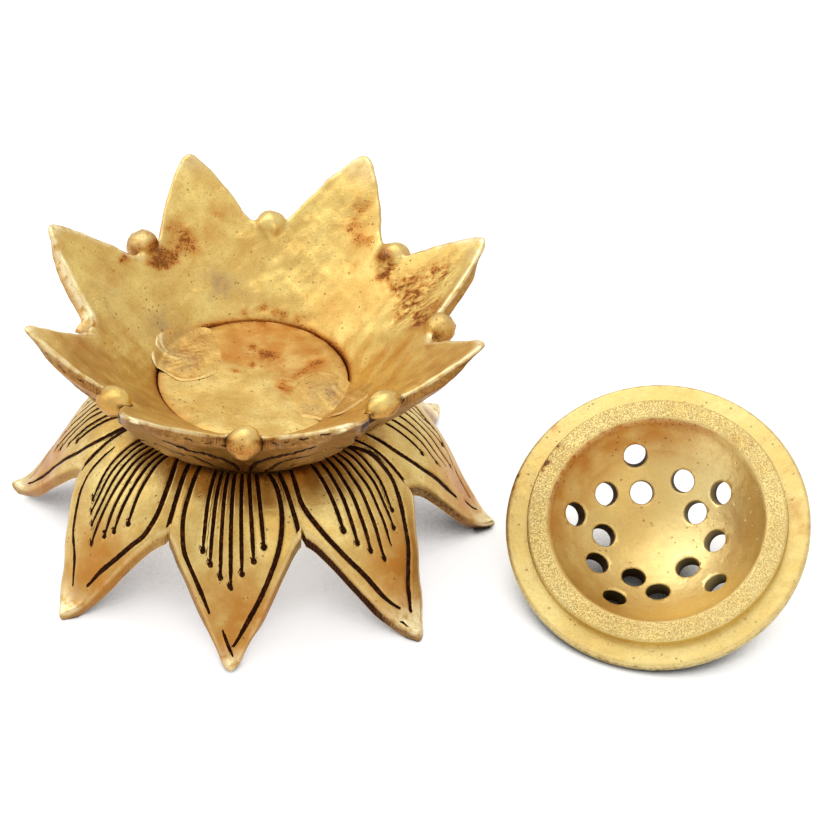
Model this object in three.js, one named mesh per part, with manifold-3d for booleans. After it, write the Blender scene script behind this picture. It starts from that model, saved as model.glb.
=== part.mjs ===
// Dhoop burner: a lotus bowl on a lotus stand, both cast in brass, and a perforated lid lying beside them.
// Millimetres, +Z up, the table at z = 0.
import * as THREE from "three";
import { mergeVertices } from "three/addons/utils/BufferGeometryUtils.js";
import Module from "manifold-3d";

const wasm = await Module();
wasm.setup();

// Shared sizes
const petalCount = 8;
const castGap = 0.3;               // between two castings that seat on each other
const halfPetalColumns = 6;        // facets from the middle of a petal to its valley

// Bowl: heights are measured from the face it stands on
const floorOpeningRadius = 24.5;
const floorEdgeHeight = 8.8;
const bowlSeatRadius = 28;
const bowlTipRadius = 60.5;
const bowlTipHeight = 39;
const bowlValleyRadius = 44.8;
const bowlFlankAngle = 15;         // degrees from a petal's middle to the foot of its side
const bowlTipRound = 2.2;          // degrees either side of a petal's middle
const bowlFlankPower = 0.95;       // 1 is a straight side, less draws the tip out to a point
const bowlWallSag = 0.7;           // how far the wall hangs below a straight cone
const bowlCreaseRise = 0.9;        // soft ridge that runs down from each bead
const bowlEdgeDrop = 4.2;          // upright thickness of the petals' edge
const bowlTipRake = 2.1;           // how far a tip's lower corner is drawn back
const bowlRakeAngle = 4.4;         // degrees either side of a petal's middle
const bowlBellyBulge = 0.8;        // roundness of a petal's outside below its edge
const bowlLean = 1.4;              // how far the tips stand off the axis of the opening, towards +X
const bowlTurn = 0.5;              // degrees that the bowl is turned on the stand
const beadRadius = 3.8;
const beadRingRadius = 45.3;
const beadSink = 2;                // depth of a bead's middle below the wall's edge

// Stand: heights are measured from the shoulder that carries the bowl
const crownRise = 8.4;             // crown above the shoulder, plugging the bowl's opening
const crownThickness = 5;
const standTipRadius = 64.8;
const standValleyRadius = 45.7;
const standFlankAngle = 20.6;
const standTipRound = 1.6;
const standFlankPower = 0.76;
const standPetalFall = 32.9;       // from the shoulder down to the top of a tip
const standTipFlare = 4;           // how far a tip turns up at its end
const standShoulderReach = 14.6;   // from the end of the shoulder's curve out to the tip
const standShoulderRise = 0.8;     // how far the shoulder's curve is drawn up before it falls
const standFootReach = 9.9;        // from the start of the tip's curve out to the tip
const standWall = 3.6;
const standPetalDip = 1.4;         // how far the valleys lie below the petals' middles
const standTipRake = 4.1;
const standRakeAngle = 5.6;
const standTurn = -1.2;
const soleSwell = 1.3;             // extra metal under a tip, on which the stand rests
const soleGrind = 0.5;             // ground off under the tips, so that the stand does not rock

// The castings are shaped by hand, so each petal has its own turn in degrees, reach, lift at the tip
// and width of its two sides, and each valley after it has its own reach
const bowlPetalWander = [
  [0, 0, 0, 1, 1],
  [2.6, -0.6, -0.5, 1.04, 1.04],
  [0.8, 1, -1.5, 0.95, 0.99],
  [-0.6, 1.6, 0, 1, 0.96],
  [-0.8, -0.2, 0.7, 0.97, 0.94],
  [-0.3, -0.5, -0.8, 0.98, 0.96],
  [-0.4, -1, 0.8, 0.98, 0.96],
  [0, 0, 0, 1, 1],
];
const bowlValleyWander = [1.1, 0.7, 2.4, 0.4, 0.5, -0.8, 0, 0];
const standPetalWander = [
  [0.4, -2, -1.1, 1, 0.97],
  [-0.4, 2.1, 0.1, 1.09, 1],
  [-0.6, -0.7, -0.8, 1.04, 1.12],
  [0.4, 2.2, -0.4, 1.04, 1.04],
  [-0.4, 0, -0.4, 1.04, 1.04],
  [0.2, 0.4, -0.4, 1.04, 1.04],
  [0.5, -0.8, 2.6, 1.05, 1.05],
  [1.9, -0.3, -0.7, 1.05, 1.08],
];
const standValleyWander = [-2, -0.7, 0, 0, 0, 0, 0, -0.6];

const edgeRound = 1.1;             // rounding of the petals' upper edges

// Lid: heights are measured from the end of its ring
const lidMouthRadius = 27.7;
const lidRingRadius = 32.85;
const lidRingHeight = 2.8;
const flangeRadius = 38.6;
const flangeThickness = 3;
const domeDepth = 14.5;
const domeWall = 3.5;
const knobRadius = 4.5;
const knobNeckRadius = 2.8;
const knobNeckHeight = 0.4;        // clear height of the neck between dome and ball
const smokeHoleDiameter = 6;
const lidColumns = 44;

// Where the lid lies: the middle of its mouth, and the way it is turned
const lidMiddleX = 103.6;
const lidMiddleY = -22.9;
const lidTurn = -18.2;

// Drilled by hand in five groups of three: [distance from the axis, degrees round it]
const smokeHoles = [
  [[12.7, -126], [21.0, -122], [17.1, -157]],
  [[11.4, -51], [18.9, -49], [15.7, -83]],
  [[11.2, 33], [20.5, 29], [14.4, -9]],
  [[12.9, 103], [15.7, 74], [21.4, 104]],
  [[13.9, 164], [17.4, 136], [21.3, 175]],
];

// Braze tacks that hold the crown in the bowl: [degrees round the axis, degrees long each way]
const tackRadius = 22.5;
const tackHalfWidth = 6;
const tackThickness = 1.3;
const tacks = { braze_tack_back: [146, 24], braze_tack_front: [-16, 26] };

const brass = { roughness: 0.34, metalness: 1 };
const standBrass = new THREE.MeshStandardMaterial({ ...brass, color: 0xc69a4e, name: "stand_brass" });
const bowlBrass = new THREE.MeshStandardMaterial({ ...brass, color: 0xd3ac5c, name: "bowl_brass" });
const lidBrass = new THREE.MeshStandardMaterial({ ...brass, color: 0xd0a757, name: "lid_brass" });
const tackBrass = new THREE.MeshStandardMaterial({ ...brass, color: 0xd6b56b, name: "tack_brass" });

const radians = THREE.MathUtils.degToRad;
const petalPitch = 360 / petalCount;
const halfPitch = petalPitch / 2;

/** One column of facets: its place on its petal, and where the petal's and the valley's own shape take it. */
function columnAt(petal, side, firstMiddle, petalWander, valleyWander) {
  const [turn, reach, lift, widthBefore, widthAfter] = petalWander[petal];
  const valleyReach = valleyWander[(side < 0 ? petal + petalCount - 1 : petal) % petalCount];
  const share = Math.cos(radians(side * 90 / halfPitch)) ** 2;
  const angle = firstMiddle + petal * petalPitch + side + turn * share;
  const extraReach = reach * share + valleyReach * (1 - share);
  const width = side < 0 ? widthBefore : widthAfter;
  return { off: Math.abs(side), angle, extraReach, width, lift: lift * share };
}

/** The smaller of a and b, with a round corner of the given size where they cross. */
function softMin(a, b, corner) {
  const mix = Math.max(corner - Math.abs(a - b), 0) / corner;
  return Math.min(a, b) - mix * mix * corner / 4;
}

/** How far a petal's edge has fallen back from tip to valley, 0 to 1, at some degrees from the petal's middle. */
function petalFallBack(off, flank, round, power) {
  const along = (Math.hypot(off, round) - round) / flank;
  return softMin(along < 1 ? along ** power : along, 1, 0.2);
}

/** The columns of facets round the axis, closer together at the tips. */
function petalColumns(firstMiddle, petalWander, valleyWander) {
  const columns = [];
  for (let petal = 0; petal < petalCount; petal += 1) {
    for (let step = -halfPetalColumns; step < halfPetalColumns; step += 1) {
      const share = Math.abs(step) / halfPetalColumns;
      const side = Math.sign(step) * halfPitch * share ** 1.3;
      columns.push(columnAt(petal, side, firstMiddle, petalWander, valleyWander));
    }
  }
  return columns;
}

/** A BufferGeometry of loose position triples and triangle indices, with shared corners merged. */
function meshOf(positions, triangles) {
  const geometry = new THREE.BufferGeometry();
  geometry.setAttribute("position", new THREE.Float32BufferAttribute(positions, 3));
  geometry.setIndex(triangles);
  return mergeVertices(geometry, 1e-4);
}

/** Removes the triangles that merging has closed to a line. */
function withoutSlivers(geometry) {
  const index = geometry.getIndex().array;
  const kept = [];
  for (let at = 0; at < index.length; at += 3) {
    const [a, b, c] = [index[at], index[at + 1], index[at + 2]];
    if (a !== b && b !== c && c !== a) kept.push(a, b, c);
  }
  geometry.setIndex(kept);
  return geometry;
}

/** Joins one section per column, each a loop of [radius, height], into a closed skin round the axis. */
function skinRoundAxis(columns, sectionAt, closedLoop) {
  const positions = [];
  const triangles = [];
  let rows = 0;
  for (const column of columns) {
    const section = sectionAt(column);
    const angle = radians(column.angle);
    rows = section.length;
    for (const [radius, height] of section) {
      positions.push(radius * Math.cos(angle), radius * Math.sin(angle), height);
    }
  }
  const strips = closedLoop ? rows : rows - 1;
  for (let column = 0; column < columns.length; column += 1) {
    const here = column * rows;
    const next = ((column + 1) % columns.length) * rows;
    for (let row = 0; row < strips; row += 1) {
      const below = (row + 1) % rows;
      triangles.push(here + row, next + below, next + row);
      triangles.push(here + row, here + below, next + below);
    }
  }
  return withoutSlivers(meshOf(positions, triangles));
}

/** A manifold solid of a closed geometry. */
function solidOf(geometry) {
  const bare = geometry.clone();
  bare.deleteAttribute("normal");
  bare.deleteAttribute("uv");
  const merged = withoutSlivers(mergeVertices(bare, 1e-4));
  return new wasm.Manifold(new wasm.Mesh({
    numProp: 3,
    vertProperties: new Float32Array(merged.getAttribute("position").array),
    triVerts: new Uint32Array(merged.getIndex().array),
  }));
}

/** The geometry of a manifold solid. */
function geometryOf(solid) {
  const mesh = solid.getMesh();
  const geometry = new THREE.BufferGeometry();
  geometry.setAttribute("position", new THREE.Float32BufferAttribute(mesh.vertProperties, 3));
  geometry.setIndex(Array.from(mesh.triVerts));
  return geometry;
}

/** Height of the bowl's inner wall above its seat, with a petal's own lift. */
function bowlWallHeight(radius, off, lift = 0) {
  const share = (radius - floorOpeningRadius) / (bowlTipRadius - floorOpeningRadius);
  const cone = floorEdgeHeight + (bowlTipHeight - floorEdgeHeight) * share;
  const hang = 4 * bowlWallSag * share * (1 - share);
  const nearValley = Math.exp(-(((halfPitch - off) / 5) ** 2));
  const nearBead = THREE.MathUtils.smoothstep(radius, bowlValleyRadius - 12, bowlValleyRadius);
  return cone - hang + bowlCreaseRise * nearValley * nearBead + lift * share ** 2;
}

/** The bowl's section: up the inside, round the petal's edge, and down the rounded outside to the seat. */
function bowlSection({ off, extraReach, width, lift }) {
  const back = petalFallBack(off, bowlFlankAngle * width, bowlTipRound, bowlFlankPower);
  const reach = bowlTipRadius - (bowlTipRadius - bowlValleyRadius) * back + extraReach;
  const section = [[floorOpeningRadius, 0]];
  const wallRows = 5;
  for (let row = 0; row <= wallRows; row += 1) {
    const radius = floorOpeningRadius + (reach - edgeRound - floorOpeningRadius) * (row / wallRows);
    section.push([radius, bowlWallHeight(radius, off, lift)]);
  }
  const top = bowlWallHeight(reach, off, lift);
  const rake = bowlTipRake * Math.exp(-((off / bowlRakeAngle) ** 2));
  const lower = new THREE.Vector2(reach - rake, top - bowlEdgeDrop);
  section.push([reach, top - edgeRound]);
  section.push([lower.x, lower.y]);
  const foot = new THREE.Vector2(bowlSeatRadius, 0);
  const outward = new THREE.Vector2(lower.y - foot.y, foot.x - lower.x).normalize();
  const bulge = bowlBellyBulge * Math.cos(radians(off * 90 / halfPitch));
  const outsideRows = 4;
  for (let row = 1; row <= outsideRows; row += 1) {
    const share = row / outsideRows;
    const onChord = lower.clone().lerp(foot, share);
    onChord.addScaledVector(outward, 4 * bulge * share * (1 - share));
    section.push([onChord.x, onChord.y]);
  }
  return section;
}

const bowlFirstMiddle = -90 + halfPitch + bowlTurn;
const standFirstMiddle = -90 + standTurn;

/** The bowl: a ring of eight petals round an open bottom, with a bead cast in each valley. */
function petalBowl() {
  const columns = petalColumns(bowlFirstMiddle, bowlPetalWander, bowlValleyWander);
  let solid = solidOf(skinRoundAxis(columns, bowlSection, true));
  const bead = new THREE.SphereGeometry(beadRadius, 12, 7);
  for (let valley = 0; valley < petalCount; valley += 1) {
    const angle = radians(bowlFirstMiddle + (valley + 0.5) * petalPitch);
    const placed = bead.clone();
    const ring = beadRingRadius + bowlValleyWander[valley];
    const height = bowlWallHeight(beadRingRadius, halfPitch) - beadSink;
    placed.translate(ring * Math.cos(angle), ring * Math.sin(angle), height);
    solid = solid.add(solidOf(placed));
  }
  return leant(geometryOf(solid));
}

/** Moves the bowl's petals sideways, more the higher they are, because they were cast a little off centre. */
function leant(geometry) {
  const position = geometry.getAttribute("position");
  for (let corner = 0; corner < position.count; corner += 1) {
    const rise = position.getZ(corner) - floorEdgeHeight;
    const share = Math.max(rise, 0) / (bowlTipHeight - floorEdgeHeight);
    position.setX(corner, position.getX(corner) + bowlLean * share);
  }
  return geometry;
}

/** Middle line of a stand petal's top, from the shoulder to the tip. */
const standSpine = new THREE.CubicBezierCurve(
  new THREE.Vector2(bowlSeatRadius, 0),
  new THREE.Vector2(standTipRadius - standShoulderReach, standShoulderRise),
  new THREE.Vector2(standTipRadius - standFootReach, -standPetalFall - standTipFlare),
  new THREE.Vector2(standTipRadius, -standPetalFall),
);

/** Share along the spine at which it is at the given distance from the axis. */
function spineShare(radius) {
  let low = 0;
  let high = 1;
  for (let turn = 0; turn < 30; turn += 1) {
    const middle = (low + high) / 2;
    if (standSpine.getPoint(middle).x < radius) low = middle;
    else high = middle;
  }
  return (low + high) / 2;
}

/** Top of the stand's petals and the point one wall under it, at a distance from the axis. */
function standSkin(radius, { off, extraReach, lift }, extraWall) {
  const outward = (radius - bowlSeatRadius) / (standTipRadius - bowlSeatRadius);
  const stretch = (standTipRadius + extraReach - bowlSeatRadius) / (standTipRadius - bowlSeatRadius);
  const share = spineShare(bowlSeatRadius + (radius - bowlSeatRadius) / stretch);
  const wall = standWall + extraWall;
  const top = standSpine.getPoint(share);
  const along = standSpine.getTangent(share);
  const outer = THREE.MathUtils.smoothstep(radius, bowlSeatRadius, standValleyRadius);
  const dip = standPetalDip * (off / halfPitch) ** 2 * outer;
  const height = top.y - dip + lift * outward ** 3;
  return { top: [radius, height], under: [radius + along.y * wall, height - along.x * wall] };
}

/** The stand's section: the crown, the shoulder, a petal's top, its edge, and the hollow underneath. */
function standSection(column) {
  const { off, extraReach, width } = column;
  const back = petalFallBack(off, standFlankAngle * width, standTipRound, standFlankPower);
  const reach = standTipRadius - (standTipRadius - standValleyRadius) * back + extraReach;
  const crownRadius = floorOpeningRadius - castGap;
  const section = [[0, crownRise], [crownRadius - edgeRound, crownRise]];
  section.push([crownRadius, crownRise - edgeRound]);
  section.push([crownRadius, 0]);
  const topRows = 8;
  for (let row = 0; row <= topRows; row += 1) {
    const radius = bowlSeatRadius + (reach - edgeRound - bowlSeatRadius) * (row / topRows);
    section.push(standSkin(radius, column, 0).top);
  }
  section.push([reach, standSkin(reach, column, 0).top[1] - edgeRound]);
  const nearTip = Math.exp(-((off / standRakeAngle) ** 2));
  const lowerReach = reach - standTipRake * nearTip;
  const underRows = 7;
  for (let row = 0; row <= underRows; row += 1) {
    const radius = lowerReach + (bowlSeatRadius - lowerReach) * (row / underRows);
    const outward = THREE.MathUtils.smoothstep(radius, standValleyRadius, standTipRadius - 2 * standWall);
    section.push(standSkin(radius, column, soleSwell * nearTip * outward).under);
  }
  const hollowTop = crownRise - crownThickness;
  const hollowRadius = crownRadius - crownThickness;
  section.push([hollowRadius, hollowTop - edgeRound], [hollowRadius - edgeRound, hollowTop], [0, hollowTop]);
  return section;
}

/** The stand: eight drooping petals round a hollow neck, closed by the crown that fills the bowl's opening. */
function petalStand() {
  const columns = petalColumns(standFirstMiddle, standPetalWander, standValleyWander);
  const casting = skinRoundAxis(columns, standSection, false);
  casting.computeBoundingBox();
  const { min, max } = casting.boundingBox;
  const grinder = new THREE.BoxGeometry(3 * max.x, 3 * max.y, 2 * soleGrind);
  grinder.translate(0, 0, min.z);
  const ground = geometryOf(solidOf(casting).subtract(solidOf(grinder)));
  return ground.translate(0, 0, -min.z - soleGrind);
}

/** Angles and heights of the lid's two spheres: the dome's inside and its outside. */
const domeInnerRadius = (lidMouthRadius ** 2 + domeDepth ** 2) / (2 * domeDepth);
const domeOuterRadius = domeInnerRadius + domeWall;
const domeCentreHeight = domeDepth - domeInnerRadius;
const flangeTop = lidRingHeight + flangeThickness;
const knobHeight = domeDepth + domeWall + knobNeckHeight + Math.sqrt(knobRadius ** 2 - knobNeckRadius ** 2);

/** Points on a circle about a point of the axis, as [radius, height], between two angles from the axis. */
function arcOnAxis(centreHeight, radius, from, to, steps) {
  const points = [];
  for (let step = 0; step <= steps; step += 1) {
    const angle = from + (to - from) * (step / steps);
    points.push([radius * Math.sin(angle), centreHeight + radius * Math.cos(angle)]);
  }
  return points;
}

/** The lid's section, from the inside of its crown round the ring and flange to the top of its knob. */
function lidProfile() {
  const mouthAngle = Math.asin(lidMouthRadius / domeInnerRadius);
  const footAngle = Math.acos((flangeTop - domeCentreHeight) / domeOuterRadius);
  const neckAngle = Math.asin(knobNeckRadius / domeOuterRadius);
  const ballAngle = Math.PI - Math.asin(knobNeckRadius / knobRadius);
  const bevel = 0.5;
  const profile = arcOnAxis(domeCentreHeight, domeInnerRadius, 0, mouthAngle, 7);
  profile.push([lidRingRadius, 0], [lidRingRadius, lidRingHeight]);
  profile.push([flangeRadius - bevel, lidRingHeight], [flangeRadius, lidRingHeight + bevel]);
  profile.push([flangeRadius, flangeTop - bevel], [flangeRadius - bevel, flangeTop]);
  profile.push(...arcOnAxis(domeCentreHeight, domeOuterRadius, footAngle, neckAngle, 6));
  profile.push(...arcOnAxis(knobHeight, knobRadius, ballAngle, 0, 5));
  return profile.map(([radius, height]) => new THREE.Vector2(radius, height));
}

/** One drill through the dome, square to its surface, at a distance from the axis on the inner side. */
function smokeDrill(distance, angle) {
  const length = 4 * domeWall;
  const lean = Math.asin(distance / domeInnerRadius);
  const drill = new THREE.CylinderGeometry(smokeHoleDiameter / 2, smokeHoleDiameter / 2, length, 12);
  drill.rotateX(Math.PI / 2);
  drill.translate(0, 0, domeInnerRadius + domeWall / 2);
  drill.rotateY(lean);
  drill.rotateZ(radians(angle));
  drill.translate(0, 0, domeCentreHeight);
  return solidOf(drill);
}

/** The lid in its own frame: the ring's end at z = 0 and the knob upwards. */
function perforatedLid() {
  let solid = solidOf(new THREE.LatheGeometry(lidProfile(), lidColumns).rotateX(Math.PI / 2));
  for (const [distance, angle] of smokeHoles.flat()) {
    solid = solid.subtract(smokeDrill(distance, angle));
  }
  return geometryOf(solid);
}

/** Height above the bowl's seat of the floor and of the foot of the wall, which a tack has run over. */
function floorHeight(radius) {
  if (radius < floorOpeningRadius) return crownRise - castGap;
  return bowlWallHeight(radius, 0);
}

/** A tack: a low lens of brass that lies over the seam between the crown and the bowl. */
function brazeTack(middle, halfLength) {
  const across = 6;
  const round = 12;
  const positions = [];
  const triangles = [];
  for (let ring = 0; ring <= across; ring += 1) {
    for (let step = 0; step < round; step += 1) {
      const turn = (step / round) * 2 * Math.PI;
      const share = ring / across;
      const radius = tackRadius + tackHalfWidth * share * Math.cos(turn);
      const angle = radians(middle + halfLength * share * Math.sin(turn));
      const rise = tackThickness * (1 - share * share) + 0.15;
      const base = floorHeight(radius) + castGap;
      positions.push(radius * Math.cos(angle), radius * Math.sin(angle), base);
      positions.push(radius * Math.cos(angle), radius * Math.sin(angle), base + rise);
    }
  }
  const low = (ring, step) => 2 * (ring * round + (step % round));
  const high = (ring, step) => low(ring, step) + 1;
  for (let ring = 0; ring < across; ring += 1) {
    for (let step = 0; step < round; step += 1) {
      triangles.push(low(ring, step), low(ring, step + 1), low(ring + 1, step + 1));
      triangles.push(low(ring, step), low(ring + 1, step + 1), low(ring + 1, step));
      triangles.push(high(ring, step), high(ring + 1, step + 1), high(ring, step + 1));
      triangles.push(high(ring, step), high(ring + 1, step), high(ring + 1, step + 1));
    }
  }
  for (let step = 0; step < round; step += 1) {
    triangles.push(low(across, step), low(across, step + 1), high(across, step + 1));
    triangles.push(low(across, step), high(across, step + 1), high(across, step));
  }
  return withoutSlivers(meshOf(positions, triangles));
}

/** A named mesh. */
function piece(name, geometry, material) {
  const mesh = new THREE.Mesh(geometry, material);
  mesh.name = name;
  return mesh;
}

const stand = piece("petal_stand", petalStand(), standBrass);
stand.geometry.computeBoundingBox();
const shoulderAboveTable = stand.geometry.boundingBox.max.z - crownRise;

const bowlPlace = new THREE.Group();
bowlPlace.position.z = shoulderAboveTable + castGap;
bowlPlace.add(piece("petal_bowl", petalBowl(), bowlBrass));
for (const [name, [middle, halfLength]] of Object.entries(tacks)) {
  bowlPlace.add(piece(name, brazeTack(middle, halfLength), tackBrass));
}

// The lid lies upside down and leans on two points: the flange's edge and the knob, both on the table.
const knobAboveFlange = knobHeight - flangeTop;
const lidTilt = Math.atan2(knobAboveFlange, flangeRadius)
  + Math.asin(knobRadius / Math.hypot(flangeRadius, knobAboveFlange));
const lid = piece("lid", perforatedLid(), lidBrass);
lid.rotation.x = -(Math.PI - lidTilt);
const lidPlace = new THREE.Group();
lidPlace.rotation.z = radians(lidTurn);
const lidRest = flangeRadius * Math.sin(lidTilt) + flangeTop * Math.cos(lidTilt);
lidPlace.position.set(lidMiddleX, lidMiddleY, lidRest);
lidPlace.add(lid);

// The origin is the middle of the whole set's footprint, at table level.
const burner = new THREE.Group();
const set = new THREE.Group();
set.add(stand, bowlPlace, lidPlace);
burner.add(set);
const footprint = new THREE.Box3().setFromObject(burner, true);
set.position.set(-(footprint.min.x + footprint.max.x) / 2, -(footprint.min.y + footprint.max.y) / 2, 0);

export default burner;
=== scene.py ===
"""Visual model of a brass dhoop burner: a lotus stand, a lotus bowl with beads, two braze tacks and a drilled lid.

Shapes are worked out in millimetres about the stand's upright axis and written to the meshes in metres, in the
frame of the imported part.
"""

import logging
import math
from dataclasses import dataclass
from enum import Enum
from functools import cached_property

import bmesh
import bpy
import numpy as np
from mathutils import Matrix, Vector
from mathutils.kdtree import KDTree

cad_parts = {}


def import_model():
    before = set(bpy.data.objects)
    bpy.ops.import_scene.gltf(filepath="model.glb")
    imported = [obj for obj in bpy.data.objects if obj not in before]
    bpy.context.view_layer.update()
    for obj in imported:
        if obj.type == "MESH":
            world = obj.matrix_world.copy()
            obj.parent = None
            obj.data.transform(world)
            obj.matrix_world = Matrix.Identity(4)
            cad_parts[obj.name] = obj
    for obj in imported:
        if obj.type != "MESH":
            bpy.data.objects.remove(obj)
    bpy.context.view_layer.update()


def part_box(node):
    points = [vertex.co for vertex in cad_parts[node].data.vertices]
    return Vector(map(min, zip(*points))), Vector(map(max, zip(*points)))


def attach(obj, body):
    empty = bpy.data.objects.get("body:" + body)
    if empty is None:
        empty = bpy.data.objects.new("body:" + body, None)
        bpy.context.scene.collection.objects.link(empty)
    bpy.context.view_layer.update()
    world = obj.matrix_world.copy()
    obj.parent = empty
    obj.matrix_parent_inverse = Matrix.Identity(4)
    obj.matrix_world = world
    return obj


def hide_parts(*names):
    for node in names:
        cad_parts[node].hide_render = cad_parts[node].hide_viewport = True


LOG = logging.getLogger("dhoop_burner")

Array = np.ndarray
Triple = tuple[float, float, float]
Corners = tuple[tuple[float, float], ...]
Socket = bpy.types.NodeSocket

# Metres in a millimetre, the petals' count and their spacing in degrees, and the angle from which an edge is sharp
MM = 0.001
PITCH = 45.0
HALF_PITCH = PITCH / 2
PETALS = 8
SHARP_FROM = 48.0

# Millimetres: far from everything, the spacing of a line's samples, the length under which it is a dot, and how
# far the crown may be from its place. NO_LINE is what a vertex stores that has no engraved line near it
FAR = 99.0
LINE_STEP = 0.2
DOT_LENGTH = 0.1
PLACE_TOLERANCE = 0.05
NO_LINE = 9.0

# The numbers that the finish reads at each vertex, with what they are on a piece that doesn't give them.
# Besides real wear, grime and stains, they carry painted highlights and painted shade
STORED = dict.fromkeys(("band", "edge_run", "hatch", "wear_and_highlight", "painted_highlight_and_rub", "grime_and_shade", "patina_and_shade", "smudge", "amber_and_shade", "grit",
                        "coarse"), 0.0) | dict.fromkeys(("line_beyond", "line_across"), NO_LINE)


class Body(Enum):
    """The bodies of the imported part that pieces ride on."""

    BURNER = "burner"
    LID = "lid"


@dataclass(frozen=True)
class SetPlace:
    """Where the stand's axis and the lid are in the part's frame, in millimetres and degrees."""

    axis_x: float = -39.281
    axis_y: float = -0.990
    shoulder_height: float = 36.283
    cast_gap: float = 0.3
    lid_x: float = 103.6
    lid_y: float = -22.9
    lid_turn: float = -18.2

    @property
    def seat_height(self) -> float:
        """Height of the bowl's seat."""
        return self.shoulder_height + self.cast_gap

    def from_axis(self, points: Array) -> Array:
        """Points given about the stand's axis, moved to the part's frame."""
        return points + np.array([self.axis_x, self.axis_y, 0.0])


PLACE = SetPlace()


# Small shapes of curves


def smoothstep(low: float, high: float, value: Array) -> Array:
    """A smooth rise from 0 at low to 1 at high."""
    share = np.clip((value - low) / (high - low), 0.0, 1.0)
    return share * share * (3.0 - 2.0 * share)


def soft_min(first: Array, second: float, corner: float) -> Array:
    """The smaller of two values, with a round corner where they cross."""
    mix = np.maximum(corner - np.abs(first - second), 0.0) / corner
    return np.minimum(first, second) - mix * mix * corner / 4


def hump(value: Array, width: float) -> Array:
    """A bell curve of height 1 at zero."""
    return np.exp(-((value / width) ** 2))


def waves(points: Array, size: float, seed: int, count: int = 14) -> Array:
    """A smooth random field, about -1 to 1.

    Args:
        points: places, one row each.
        size: distance between neighbouring rises, in the points' units.
        seed: number that fixes the field.
        count: how many waves are added.

    Returns:
        One value for each point.
    """
    rng = np.random.default_rng(seed)
    field_sum = np.zeros(points.shape[:-1])
    for _ in range(count):
        direction = rng.normal(size=3)
        direction *= 2 * math.pi / size * rng.uniform(0.6, 1.5) / np.linalg.norm(direction)
        field_sum += np.sin(points @ direction + rng.uniform(0, 2 * math.pi))
    return field_sum / math.sqrt(count)


# Meshes


def mesh_of(build: bmesh.types.BMesh, name: str) -> bpy.types.Mesh:
    """Writes a bmesh to a new mesh and frees it.

    Args:
        build: the bmesh.
        name: the mesh's name.

    Returns:
        The mesh.
    """
    mesh = bpy.data.meshes.new(name)
    build.to_mesh(mesh)
    build.free()
    return mesh


def corners_of(mesh: bpy.types.Mesh) -> Array:
    """The mesh's vertices, one row each.

    Args:
        mesh: the mesh.

    Returns:
        Their places.
    """
    flat = np.empty(len(mesh.vertices) * 3, np.float64)
    mesh.vertices.foreach_get("co", flat)
    return flat.reshape(-1, 3)


def put_corners(mesh: bpy.types.Mesh, points: Array) -> None:
    """Moves the mesh's vertices to the given points."""
    mesh.vertices.foreach_set("co", points.astype(np.float32).ravel())
    mesh.update()


def put_values(mesh: bpy.types.Mesh, values: dict[str, Array]) -> None:
    """Stores the numbers that the finish reads.

    Args:
        mesh: the mesh.
        values: those that the piece gives, one number for each vertex.
    """
    for name, plain in STORED.items():
        attribute = mesh.attributes.new(name, "FLOAT", "POINT")
        given = values.get(name, np.full(len(mesh.vertices), plain))
        attribute.data.foreach_set("value", given.astype(np.float32))


def round_axis(radius: Array, angle: Array, height: Array) -> Array:
    """Points at the given distances from the axis, turns round it in radians, and heights."""
    return np.stack([radius * np.cos(angle), radius * np.sin(angle), height], -1)


def finished_piece(mesh: bpy.types.Mesh, name: str, body: Body, node: str,
                   material: bpy.types.Material) -> bpy.types.Object:
    """Turns a mesh in millimetres into a piece that stands for a node of the part.

    Args:
        mesh: the mesh, in the part's frame, in millimetres.
        name: the piece's name.
        body: the body it moves with.
        node: the node that it stands for.
        material: its finish.

    Returns:
        The piece.
    """
    mesh.transform(Matrix.Scale(MM, 4))
    mesh.materials.clear()
    mesh.materials.append(material)
    mesh.shade_smooth()
    mesh.set_sharp_from_angle(angle=math.radians(SHARP_FROM))
    piece = bpy.data.objects.new(name, mesh)
    bpy.context.scene.collection.objects.link(piece)
    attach(piece, body.value)
    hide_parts(node)
    LOG.info("%s: %d vertices, %d faces", name, len(mesh.vertices), len(mesh.polygons))
    return piece


class RoundSheet(Enum):
    """How a sheet of rows and columns closes round the axis."""

    BALL = "ball"
    RING = "ring"


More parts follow.
